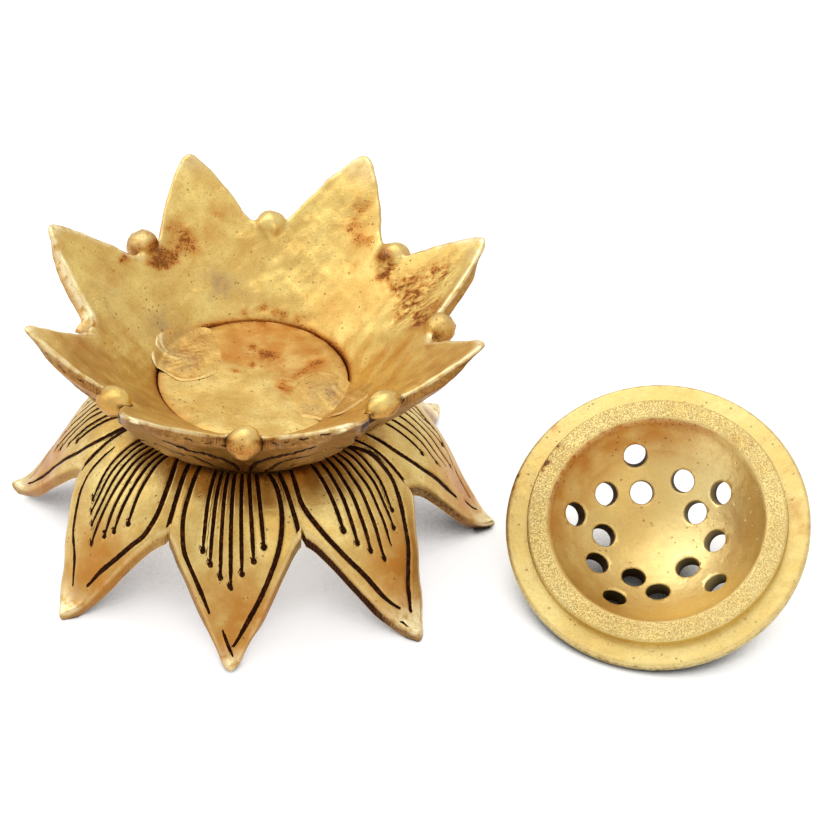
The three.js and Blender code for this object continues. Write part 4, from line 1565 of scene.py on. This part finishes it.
        # A painted highlight on the beads' tops, and painted shade on their lower sides
        wear_and_highlight = np.maximum(wear_and_highlight * (1 - bead), 0.12 * bead * smoothstep(0.45, 0.9, level))
        low = bead * smoothstep(0.35, -0.4, level)
        face = smoothstep(0.3, 0.9, band) * (1 - bead) * (1 - left)
        cloud = smoothstep(0.1, 1.3, waves(points, 24.0, 31)) * 0.38 * smoothstep(50, 34, radius)
        # Painted shade darkens the edge faces and the outside wall, most at the front and on the front petals' inner
        # flanks; bevels that face left get a painted highlight
        return {
            "amber_and_shade": np.clip(np.where(inside, cloud + 0.6 * halo, 0.6) * (1 - bead) + 0.55 * low, 0, 1),
            "band": (np.maximum(band * (0.7 + 0.3 * front) * (1 - 0.85 * left), 0.6 * outside)
                     * (1 - bead) * (1 - tip_rubs_and_highlights)),
            "painted_highlight_and_rub": np.clip(1.3 * tip_rubs_and_highlights, 0, 1),
            "coarse": np.where(inside, all_spots(ROUGH_CAST, points), 0) * (1 - bead),
            "edge_run": np.tile(run, (len(points), 1)),
            "hatch": smoothstep(0.5, 1, band) * smoothstep(10, 18, cols.off)[None, :] * front * (1 - bead) * 0.8,
            "wear_and_highlight": (np.clip(wear_and_highlight + 0.25 * left * smoothstep(0, 0.5, band), 0, 1) * (1 - tucked) * (1 - face)
                     * (1 - outside)),
            "grime_and_shade": (0.62 * tucked * np.maximum(band, 0.7 * outside) * (1 - bead)
                      + 0.8 * crevice * (0.1 + 0.9 * front) + 0.35 * seam + self.cracks(cols, rows - rim)
                      + 0.5 * hump(rows - rim - 2.6, 1.4) * (0.4 + 0.6 * back) * (1 - bead)),
            "patina_and_shade": (np.where(inside, np.maximum(all_spots(BOWL_STAINS, points), halo), 0.3 * band + 0.35 * outside)
                       + 0.5 * bead * hump(level - 0.15, 0.45) * (0.7 + 0.3 * back) + 0.45 * seam),
            "smudge": np.where(inside, all_spots(BOWL_SMUDGES, points), 0.0), "grit": 0.6 * band * (1 - front),
            "line_beyond": lines.beyond, "line_across": lines.across,
        }


# Casting cracks: the petal, the degrees where each starts and ends, its depth at both ends, and its seed

CRACKS = ((7, 6, 20, 0.55, 0.95, 1), (0, -20, -8, 0.25, 0.9, 2), (0, -12, -2, 0.45, 0.35, 3), (6, 2, 18, 0.5, 0.8, 4))

# The lines on the outside of the bowl's petals, as (degrees from the middle, share of the way down), on both sides

BOWL_STROKES = tuple(
    Stroke(tuple((way * side, down) for side, down in points), half_width, depth)
    for points, half_width, depth in (
        (((5.5, 0.07), (7.5, 0.11), (10, 0.17), (14.1, 0.275), (17.7, 0.55), (20, 0.95)), 0.62, 0.5),
        (((1.0, 0.30), (5, 0.30), (9.1, 0.34), (11.6, 0.63), (13, 0.97)), 0.6, 0.5),
        (((3, 0.52), (5.5, 0.60), (6.5, 0.97)), 0.3, 0.25))
    for way in (-1, 1))


# The braze tacks


def line_distance(points: Array, corners: Corners) -> Array:
    """Distance from places on the floor to a smooth line through the corners.

    Args:
        points: places as (x, y) rows.
        corners: the line's corners.

    Returns:
        One distance for each place, in millimetres.
    """
    path = Stroke(corners).path(14)
    return np.min(np.linalg.norm(points[:, None] - path[None], axis=-1), axis=1)


@dataclass
class BrazeTack:
    """A tongue of brass that has run over the seam between the crown and the bowl, with ridges and crevices."""

    name: str
    outline: Corners
    ridges: tuple[Corners, ...]
    crevices: tuple[Corners, ...]
    seed: int
    thickness: float = 0.6
    thin: float = 0.02
    wall_lift: float = 0.22
    sunk: float = 0.15
    ridge_width: float = 0.55
    crevice_width: float = 0.42
    rows: int = 69
    columns: int = 180
    finish: AgedBrass = AgedBrass("tack_brass", light=srgb(226, 198, 120), mid=srgb(200, 163, 92), roughness=0.46,
                                  grain=0.09, cast=0.3, granular=0.6)

    def floor(self, points: Array, bowl: LotusBowl) -> Array:
        """Height above the seat of the crown and the wall's foot, with their corner filled.

        Args:
            points: places as (x, y) rows.
            bowl: the bowl.

        Returns:
            The heights.
        """
        radius = np.hypot(points[:, 0], points[:, 1])
        crown = LotusStand.crown_rise - PLACE.cast_gap - 0.02
        opening = seam_opening(np.arctan2(points[:, 1], points[:, 0]))
        wall = bowl.wall_height(np.maximum(radius, bowl.opening), np.zeros_like(radius), 0.0, opening)
        share = np.maximum(wall - bowl.floor_edge, 0) / (bowl.tip_height - bowl.floor_edge)
        leaned = np.hypot(points[:, 0] - bowl.lean * share, points[:, 1])
        wall = bowl.wall_height(np.maximum(leaned, bowl.opening), np.zeros_like(radius), 0.0, opening)
        fill = smoothstep(-2.5, 0, radius - bowl.opening)
        return np.where(radius < bowl.opening, crown + (wall - crown) * fill, wall)

    def edge_reach(self, middle: Array, angle: Array) -> Array:
        """Distance from the middle to the outline at each angle.

        Args:
            middle: the outline's middle.
            angle: the angles, in radians.

        Returns:
            The distances.
        """
        closed = Stroke((*self.outline, self.outline[0])).path(10) - middle
        turns = np.arctan2(closed[:, 1], closed[:, 0])
        order = np.argsort(turns)
        return np.interp(angle, turns[order], np.hypot(closed[:, 0], closed[:, 1])[order], period=2 * math.pi)

    def build(self, bowl: LotusBowl) -> bpy.types.Object:
        """Models the tack on the bowl's floor and gives it its finish.

        Args:
            bowl: the bowl that it lies on.

        Returns:
            The piece.
        """
        mesh, row, column = round_sheet(RoundSheet.BALL, self.rows, self.columns, self.name)
        share = np.clip((row + 1) / (self.rows + 1), 0, 1)
        out = 1 - np.abs(2 * share - 1)
        angle = column / self.columns * 2 * math.pi
        middle = np.mean(np.array(self.outline), axis=0)
        reach = self.edge_reach(middle, (angle + math.pi) % (2 * math.pi) - math.pi)
        places = middle + (out * reach)[:, None] * np.stack([np.cos(angle), np.sin(angle)], -1)
        flat = np.column_stack([places, np.zeros(len(places))])
        ridge = np.max([hump(line_distance(places, line), self.ridge_width) for line in self.ridges], axis=0)
        crevice = np.max([hump(line_distance(places, line), self.crevice_width) for line in self.crevices], axis=0)
        swirl = waves(flat * np.array([1.0, 0.55, 1.0]), 4.5, self.seed)
        inner = 1 - out ** 2
        rough = waves(flat, 1.7, self.seed + 4)
        on_wall = smoothstep(bowl.opening - 0.5, bowl.opening + 1.5, np.hypot(places[:, 0], places[:, 1]))
        within = smoothstep(1.0, 0.9, out)
        swell = 0.5 + 0.22 * swirl + 0.08 * rough
        rise = self.thin + self.wall_lift * on_wall * within + self.thickness * inner * swell + 0.2 * ridge * within
        top = self.floor(places, bowl) + rise - 0.25 * crevice * inner
        height = np.where(share <= 0.5, top, self.floor(places, bowl) - self.sunk)
        put_corners(mesh, PLACE.from_axis(np.column_stack([places, height + PLACE.seat_height])))
        # Ridges are lightened, most on the wall: partly worn brass, partly a painted highlight; crevices are darkened,
        # partly a painted shadow line
        put_values(mesh, {
            "amber_and_shade": np.full(len(places), 0.12), "wear_and_highlight": (0.12 + 0.5 * on_wall) * ridge, "grime_and_shade": 0.55 * crevice,
            "patina_and_shade": 0.12 + 0.2 * waves(flat, 6.0, self.seed + 1), "smudge": 0.95 * inner * (0.55 + 0.45 * swirl)})
        return finished_piece(mesh, f"{self.name}_run", Body.BURNER, self.name, self.finish.material())


def braze_tacks() -> tuple[BrazeTack, BrazeTack]:
    """The two tacks, as they have run on the floor.

    Returns:
        The back one and the front one.
    """
    back = BrazeTack(
        "braze_tack_back",
        outline=((-25.9, 11.0), (-22.4, 15.6), (-17.5, 18.5), (-12.8, 19.3), (-10.4, 13.9), (-8.7, 7.3), (-9.0, 1.8),
                 (-13.7, -1.8), (-18.3, -2.8), (-22.3, 0.2), (-25.3, 1.8), (-26.4, 5.5)),
        ridges=(((-25.9, 10.6), (-24.9, 8.2), (-21.5, 6.9), (-20.0, 6.4)),
                ((-22.3, 0.5), (-18.3, -2.2), (-13.7, -1.3), (-9.6, 2.2)),
                ((-26.2, 5.2), (-25.2, 2.0), (-22.2, 0.2)), ((-24.6, 12.4), (-24.2, 9.6), (-22.6, 8.2))),
        crevices=(((-21.5, 0.6), (-22.8, 0.2)),), seed=3)
    front = BrazeTack(
        "braze_tack_front",
        outline=((10.1, -5.0), (11.6, -0.7), (14.3, 2.4), (18.6, 4.1), (23.9, 0.2), (27.1, -7.6), (30.2, -14.5),
                 (27.5, -17.6), (23.4, -20.0), (16.9, -15.8), (13.2, -15.0), (10.8, -10.2)),
        ridges=(((16.8, 3.4), (18.6, 3.6), (20.8, 3.2)), ((13.8, -14.4), (16.8, -14.9), (20.5, -17.0), (23.4, -19.0),
                                                         (27.4, -15.8), (29.8, -14.5)),
                ((20.5, -2.0), (24.0, -8.0), (26.0, -13.0))),
        crevices=(((10.4, -5.2), (11.9, -1.0), (14.5, 1.9), (16.8, 3.1)),), seed=8)
    return back, front


# The lid, with stains and pits in its own frame: the ring's end at height 0, the knob above

LID_STAINS = spots(
    (32.7, -12.3, 2.8, 4, 0.5), (35, -7.6, 2.8, 3, 0.55), (-38, 1, 2.8, 2, 0.7, 2),
    (-34, -18, 2.8, 3, 0.6), (13.4, -25.7, 0, 2.5, 0.5), (20.7, -19.4, 0, 2, 0.5),
)

LID_PITS = spots(
    (-30.4, -11.3, 0, 1.2), (-29.9, -12.6, 0, 1.1), (-30.9, -10, 0, 1, 0.9),
    (-31.6, -6, 0, 1.1, 0.9), (-31.2, -7.2, 0, 1, 0.8), (-31.8, -4.8, 0, 0.9, 0.8),
    (-34.2, -20.6, 2.8, 1.2), (-33.4, -22.2, 2.8, 1.3), (-34.8, -19, 2.8, 1, 0.8),
    (-37.6, -2.8, 2.9, 1.3, 0.9), (-37.9, -1, 2.9, 1.1, 0.9), (18.3, -26, 0, 0.9, 0.7),
)


@dataclass
class DrilledLid:
    """The lid: a ring, a flange and a domed crown with hand-drilled smoke holes, and a knob on top."""

    mouth_radius: float = 27.7
    ring_radius: float = 32.85
    ring_height: float = 2.8
    flange_radius: float = 38.6
    flange_thickness: float = 3.0
    dome_depth: float = 14.5
    dome_wall: float = 3.5
    knob_radius: float = 4.5
    neck_radius: float = 2.8
    neck_height: float = 0.4
    hole_radius: float = 3.0
    drill_sides: int = 44
    columns: int = 336
    holes: Corners = (
        (12.7, -126), (21.0, -122), (17.1, -157), (11.4, -51), (18.9, -49), (15.7, -83), (11.2, 33), (20.5, 29),
        (14.4, -9), (12.9, 103), (15.7, 74), (21.4, 104), (13.9, 164), (17.4, 136), (21.3, 175))
    finish: AgedBrass = AgedBrass("lid_brass", light=srgb(230, 208, 138), mid=srgb(216, 188, 114),
                                  dull=srgb(158, 114, 68), rub_and_highlight_colour=srgb(252, 232, 164), roughness=0.44, speckle=0.35,
                                  blotch=0.15, granular=0.22, mottle=0.5)

    @property
    def inner_sphere(self) -> float:
        """Radius of the dome's inside."""
        return (self.mouth_radius ** 2 + self.dome_depth ** 2) / (2 * self.dome_depth)

    @property
    def centre_height(self) -> float:
        """Height of the dome's centre above the ring's end."""
        return self.dome_depth - self.inner_sphere

    @property
    def flange_top(self) -> float:
        """Height of the flange's far face above the ring's end."""
        return self.ring_height + self.flange_thickness

    @property
    def knob_height(self) -> float:
        """Height of the knob's middle above the ring's end."""
        return (self.dome_depth + self.dome_wall + self.neck_height
                + math.sqrt(self.knob_radius ** 2 - self.neck_radius ** 2))

    def profile(self) -> list[tuple[float, float]]:
        """The section from the dome's inside round the ring and flange to the top of the knob.

        Returns:
            Its (distance, height) corners, in order.
        """
        outer = self.inner_sphere + self.dome_wall
        centre = self.centre_height
        mouth = math.asin(self.mouth_radius / self.inner_sphere)
        foot = math.acos((self.flange_top - centre) / outer)
        neck = math.asin(self.neck_radius / outer)
        ball = math.pi - math.asin(self.neck_radius / self.knob_radius)
        points = [(self.inner_sphere * math.sin(a), centre + self.inner_sphere * math.cos(a))
                  for a in np.linspace(0, mouth - 0.012, 26)]
        points += [(self.mouth_radius - 0.05, 0.28), (self.mouth_radius + 0.22, 0.03)]
        points += [(r, 0.0) for r in np.linspace(self.mouth_radius + 0.6, self.ring_radius - 0.6, 13)]
        points += [(self.ring_radius - 0.2, 0.06), (self.ring_radius - 0.03, 0.3), (self.ring_radius, 0.9),
                   (self.ring_radius, self.ring_height - 0.35), (self.ring_radius + 0.2, self.ring_height)]
        rim = self.flange_radius - 0.1
        points += [(r, self.ring_height) for r in np.linspace(self.ring_radius + 0.8, rim - 0.7, 11)]
        points += [(rim - 0.25, self.ring_height + 0.12), (rim, self.ring_height + 0.5),
                   (rim, (self.ring_height + self.flange_top) / 2), (rim, self.flange_top - 0.5),
                   (rim - 0.2, self.flange_top - 0.12), (rim - 0.6, self.flange_top)]
        points += [(outer * math.sin(a), centre + outer * math.cos(a)) for a in np.linspace(foot, neck, 20)]
        points += [(self.knob_radius * math.sin(a), self.knob_height + self.knob_radius * math.cos(a))
                   for a in np.linspace(ball, 0, 16)]
        return points

    def blank(self) -> bpy.types.Mesh:
        """The turned lid, before it is drilled.

        Returns:
            The mesh, in the lid's own frame.
        """
        build = bmesh.new()
        corners = [build.verts.new((radius, 0.0, height)) for radius, height in self.profile()]
        for first, second in zip(corners, corners[1:]):
            build.edges.new((first, second))
        bmesh.ops.spin(build, geom=build.verts[:] + build.edges[:], cent=(0, 0, 0), axis=(0, 0, 1),
                       angle=2 * math.pi, steps=self.columns, use_merge=True)
        bmesh.ops.remove_doubles(build, verts=build.verts[:], dist=1e-4)
        bmesh.ops.recalc_face_normals(build, faces=build.faces[:])
        return mesh_of(build, "lid_blank")

    def drills(self) -> bpy.types.Mesh:
        """The drills that bore the smoke holes, each widened a little where it leaves the dome's inside.

        Returns:
            One mesh with all of them, in the lid's own frame.
        """
        build = bmesh.new()
        skin = self.inner_sphere
        profile = ((0.0, skin - 2), (self.hole_radius + 2.1, skin - 2), (self.hole_radius + 0.05, skin + 0.1),
                   (self.hole_radius, skin + 0.4), (self.hole_radius, skin + 2 * self.dome_wall),
                   (0.0, skin + 2 * self.dome_wall))
        for distance, angle in self.holes:
            place = (Matrix.Translation((0, 0, self.centre_height)) @ Matrix.Rotation(math.radians(angle), 4, "Z")
                     @ Matrix.Rotation(math.asin(distance / skin), 4, "Y"))
            corners = [build.verts.new((radius, 0.0, height)) for radius, height in profile]
            edges = [build.edges.new(pair) for pair in zip(corners, corners[1:])]
            bmesh.ops.spin(build, geom=corners + edges, cent=(0, 0, 0), axis=(0, 0, 1), angle=2 * math.pi,
                           steps=self.drill_sides, use_merge=True)
            own = {vert for vert in build.verts if not vert.tag}
            bmesh.ops.transform(build, verts=list(own), matrix=place)
            for vert in own:
                vert.tag = True
        bmesh.ops.remove_doubles(build, verts=build.verts[:], dist=1e-4)
        bmesh.ops.recalc_face_normals(build, faces=build.faces[:])
        return mesh_of(build, "lid_drills")

    def drilled(self) -> bpy.types.Mesh:
        """The lid with its holes.

        Returns:
            The mesh, in the lid's own frame.
        """
        blank = bpy.data.objects.new("lid_blank", self.blank())
        tool = bpy.data.objects.new("lid_drills", self.drills())
        for made in (blank, tool):
            bpy.context.scene.collection.objects.link(made)
        cut = blank.modifiers.new("drills", "BOOLEAN")
        cut.object, cut.operation, cut.solver = tool, "DIFFERENCE", "MANIFOLD"
        bpy.context.view_layer.update()
        mesh = bpy.data.meshes.new_from_object(blank.evaluated_get(bpy.context.evaluated_depsgraph_get()))
        for made in (blank, tool):
            bpy.data.objects.remove(made)
        return mesh

    def build(self) -> bpy.types.Object:
        """Models the lid where it lies and gives it its finish.

        Returns:
            The piece.
        """
        mesh = self.drilled()
        points = corners_of(mesh)
        put_values(mesh, self.marks_and_painted_light(points))
        mesh.transform(self.place())
        return finished_piece(mesh, "drilled_lid", Body.LID, "lid", self.finish.material())

    def place(self) -> Matrix:
        """Where the lid lies: upside down on its flange's edge and its knob.

        Returns:
            The move from the lid's own frame to the part's, in millimetres.
        """
        above = self.knob_height - self.flange_top
        tilt = (math.atan2(above, self.flange_radius)
                + math.asin(self.knob_radius / math.hypot(self.flange_radius, above)))
        rest = self.flange_radius * math.sin(tilt) + self.flange_top * math.cos(tilt)
        spot = Vector((PLACE.lid_x + PLACE.axis_x, PLACE.lid_y + PLACE.axis_y, rest))
        return (Matrix.Translation(spot) @ Matrix.Rotation(math.radians(PLACE.lid_turn), 4, "Z")
                @ Matrix.Rotation(-(math.pi - tilt), 4, "X"))

    def dome_painted_shade(self, points: Array) -> Array:
        """Painted shade on the dome's inside: brown towards the mouth, least on the side that lies low and towards +x.

        Args:
            points: places in the lid's own frame.

        Returns:
            One number for each place.
        """
        radius = np.hypot(points[:, 0], points[:, 1])
        low_side = (1 - 0.7 * smoothstep(-4, 20, points[:, 1])) * (1 - 0.8 * smoothstep(0, 18, points[:, 0]))
        return (0.04 + 1.05 * smoothstep(17, 27, radius)) * low_side

    def marks_and_painted_light(self, points: Array) -> dict[str, Array]:
        """The numbers that the finish reads: real wear, grime and stains, and painted highlights and painted shade.

        Args:
            points: the vertices, in the lid's own frame.

        Returns:
            Each kind of number, one for each vertex.
        """
        radius = np.hypot(points[:, 0], points[:, 1])
        height = points[:, 2]
        away = points - np.array([0, 0, self.centre_height])
        from_centre = np.linalg.norm(away, axis=1)
        dome = hump(from_centre - self.inner_sphere, 0.6) * (radius < self.mouth_radius)
        ring_end = (height < 0.2) & (radius > self.mouth_radius)
        rim = hump(radius - self.flange_radius, 0.9)
        mouth = hump(radius - self.mouth_radius, 0.5) * (height < 1)
        hole = np.full(len(points), FAR)
        for distance, angle in self.holes:
            lean = math.asin(distance / self.inner_sphere)
            turn = math.radians(angle)
            axis = np.array([math.sin(lean) * math.cos(turn), math.sin(lean) * math.sin(turn), math.cos(lean)])
            hole = np.minimum(hole, np.linalg.norm(away - (away @ axis)[:, None] * axis, axis=1))
        # Painted shade darkens the bores and the corner between ring and flange
        bore = (hole < self.hole_radius + 0.1) & (from_centre > self.inner_sphere + 0.25)
        corner = (hump(radius - self.ring_radius, 0.35) * (height > self.ring_height - 0.4)
                  * (height < self.ring_height + 0.3))
        pits = all_spots(LID_PITS, points)
        # The dome's painted shade goes into its amber and its stains
        brown = dome * self.dome_painted_shade(points)
        # A painted highlight lightens the dome's inside towards +x, and a faint one the ring's end
        return {
            "band": np.where(ring_end, 0.0, 0.3 * rim), "grit": np.where(ring_end, 1.0, 0.45 * rim),
            "amber_and_shade": np.clip(brown, 0, 1), "smudge": np.where(ring_end, 0.1, 0.05),
            "wear_and_highlight": np.clip(0.4 * rim + 0.3 * mouth + 0.12 * hump(hole - self.hole_radius - 0.3, 0.3) * dome, 0, 1),
            "grime_and_shade": 0.8 * bore + 0.4 * corner + 0.75 * pits + 0.55 * hump(radius - self.flange_radius, 0.4),
            "patina_and_shade": (brown * (0.3 + 0.45 * smoothstep(25.2, 27.6, radius)) + 0.35 * (height > self.flange_top + 0.5)
                       + all_spots(LID_STAINS, points) + 1.6 * pits),
            "painted_highlight_and_rub": 0.8 * dome * smoothstep(-8, 16, points[:, 0]) * smoothstep(29, 25, radius) + 0.12 * ring_end,
        }


# The studio


@dataclass(frozen=True)
class Studio:
    """A pale floor, soft lamps, a white background, and the camera at the photograph's angle."""

    camera_at: Triple = (2.003, -500.549, 431.771)
    camera_right: Triple = (0.99886986, 0.02954516, 0.03723013)
    camera_up: Triple = (-0.04752893, 0.62092221, 0.78242994)
    camera_back: Triple = (0.0, -0.7833152, 0.62162425)
    lens: float = 108.115
    sensor: float = 36.0
    clip: tuple[float, float] = (0.01, 50.0)
    ambient: float = 0.75
    floor_size: float = 6.0
    floor_drop: float = 0.0002
    floor_shade: tuple[float, float] = (0.47, 0.08)
    floor_glow: float = 0.70
    cover_height: float = 0.042
    cover_range: tuple[float, float] = (0.29, 0.5)
    cover_samples: int = 12
    aim_height: float = 0.03
    lamps: tuple[tuple[str, Triple, float, float], ...] = (
        ("overhead_lamp", (-0.25, 0.35, 1.25), 1.1, 5.0),
        ("front_lamp", (0.55, -1.1, 0.95), 0.8, 1.5),
        ("left_lamp", (-1.15, 0.1, 0.85), 1.1, 2.6))

    def build(self) -> None:
        """Sets up the camera, the floor, the lamps and the world."""
        self.camera()
        self.floor()
        self.world()
        for name, spot, size, power in self.lamps:
            self.lamp(name, Vector(spot), size, power)
        bpy.context.scene.view_settings.view_transform = "Standard"

    def camera(self) -> None:
        """Places the camera at the photograph's viewing angle."""
        data = bpy.data.cameras.new("view")
        data.sensor_width, data.lens = self.sensor, self.lens
        data.clip_start, data.clip_end = self.clip
        view = bpy.data.objects.new("view", data)
        bpy.context.scene.collection.objects.link(view)
        turn = Matrix((self.camera_right, self.camera_up, self.camera_back)).transposed().to_4x4()
        view.matrix_world = Matrix.Translation(Vector(self.camera_at) * MM) @ turn
        bpy.context.scene.camera = view

    def seen_directly(self, board: Board) -> Socket:
        """One where a ray comes straight from the camera, or by a mirror or through glass."""
        path = board.node("LightPath", {}).outputs
        return board.math("MAXIMUM", board.math("MAXIMUM", path["Is Camera Ray"], path["Is Glossy Ray"]),
                          path["Is Transmission Ray"])

    def floor(self) -> None:
        """A plain pale floor that shows white and keeps the object's shadow."""
        build = bmesh.new()
        bmesh.ops.create_grid(build, x_segments=1, y_segments=1, size=self.floor_size)
        bmesh.ops.translate(build, verts=build.verts[:], vec=(0, 0, -self.floor_drop))
        floor = bpy.data.objects.new("floor", mesh_of(build, "floor"))
        bpy.context.scene.collection.objects.link(floor)
        material = bpy.data.materials.new("floor_white")
        board = Board(material)
        # Where a piece covers the floor closely, its colour and glow are darkened: a painted shadow that moves with the
        # pieces
        open_floor = self.open_floor(board)
        matt = board.node("BsdfDiffuse", {"Color": board.math("MULTIPLY_ADD", open_floor, *self.floor_shade)})
        lit = board.times(self.seen_directly(board), self.floor_glow)
        glow = board.node("Emission", {"Strength": board.times(lit, open_floor)})
        both = board.node("AddShader", {0: matt.outputs["BSDF"], 1: glow.outputs["Emission"]})
        board.node("OutputMaterial", {"Surface": both.outputs["Shader"]})
        floor.data.materials.append(material)

    def open_floor(self, board: Board) -> Socket:
        """One on the open floor, and nought where a piece close above it keeps the room's light away.

        Args:
            board: the floor's node tree.

        Returns:
            The factor.
        """
        cover = board.node("AmbientOcclusion", {"Distance": self.cover_height})
        cover.samples = self.cover_samples
        low, high = self.cover_range
        reached = board.node("MapRange", {"Value": cover.outputs["AO"], "From Min": low, "From Max": high})
        return reached.outputs["Result"]

    def world(self) -> None:
        """White where it is seen, and a plain soft light elsewhere."""
        world = bpy.data.worlds.new("studio")
        bpy.context.scene.world = world
        board = Board(world)
        light, white = (board.node("Background", {"Color": (1, 1, 1), "Strength": strength}).outputs["Background"]
                        for strength in (self.ambient, 1.0))
        mix = board.node("MixShader", {"Fac": self.seen_directly(board), 1: light, 2: white})
        board.node("OutputWorld", {"Surface": mix.outputs["Shader"]})

    def lamp(self, name: str, spot: Vector, size: float, power: float) -> None:
        """A soft square lamp that faces the set.

        Args:
            name: the lamp's name.
            spot: where it is, in metres.
            size: its side, in metres.
            power: its power, in watts.
        """
        data = bpy.data.lights.new(name, "AREA")
        data.shape, data.size, data.energy = "SQUARE", size, power
        lamp = bpy.data.objects.new(name, data)
        bpy.context.scene.collection.objects.link(lamp)
        lamp.location = spot
        lamp.rotation_euler = (Vector((0, 0, self.aim_height)) - spot).to_track_quat("-Z", "Y").to_euler()


def check_place() -> None:
    """Warns if the stand's crown isn't at the height that the sizes here put it, and logs its box's middle."""
    low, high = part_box("petal_stand")
    crown = high.z / MM - PLACE.shoulder_height - LotusStand.crown_rise
    if abs(crown) > PLACE_TOLERANCE:
        LOG.warning("the crown is %.2f mm from its place", crown)
    centre = (low + high) / 2 / MM
    LOG.info("stand's box has its middle at %.2f, %.2f", centre.x, centre.y)


def main() -> None:
    """Builds the pieces in order and reports each one."""
    logging.basicConfig(level=logging.INFO, format="%(message)s")
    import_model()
    check_place()
    bowl = LotusBowl()
    LotusStand().build()
    bowl.build()
    for tack in braze_tacks():
        tack.build(bowl)
    DrilledLid().build()
    Studio().build()


if __name__ == "__main__":
    main()
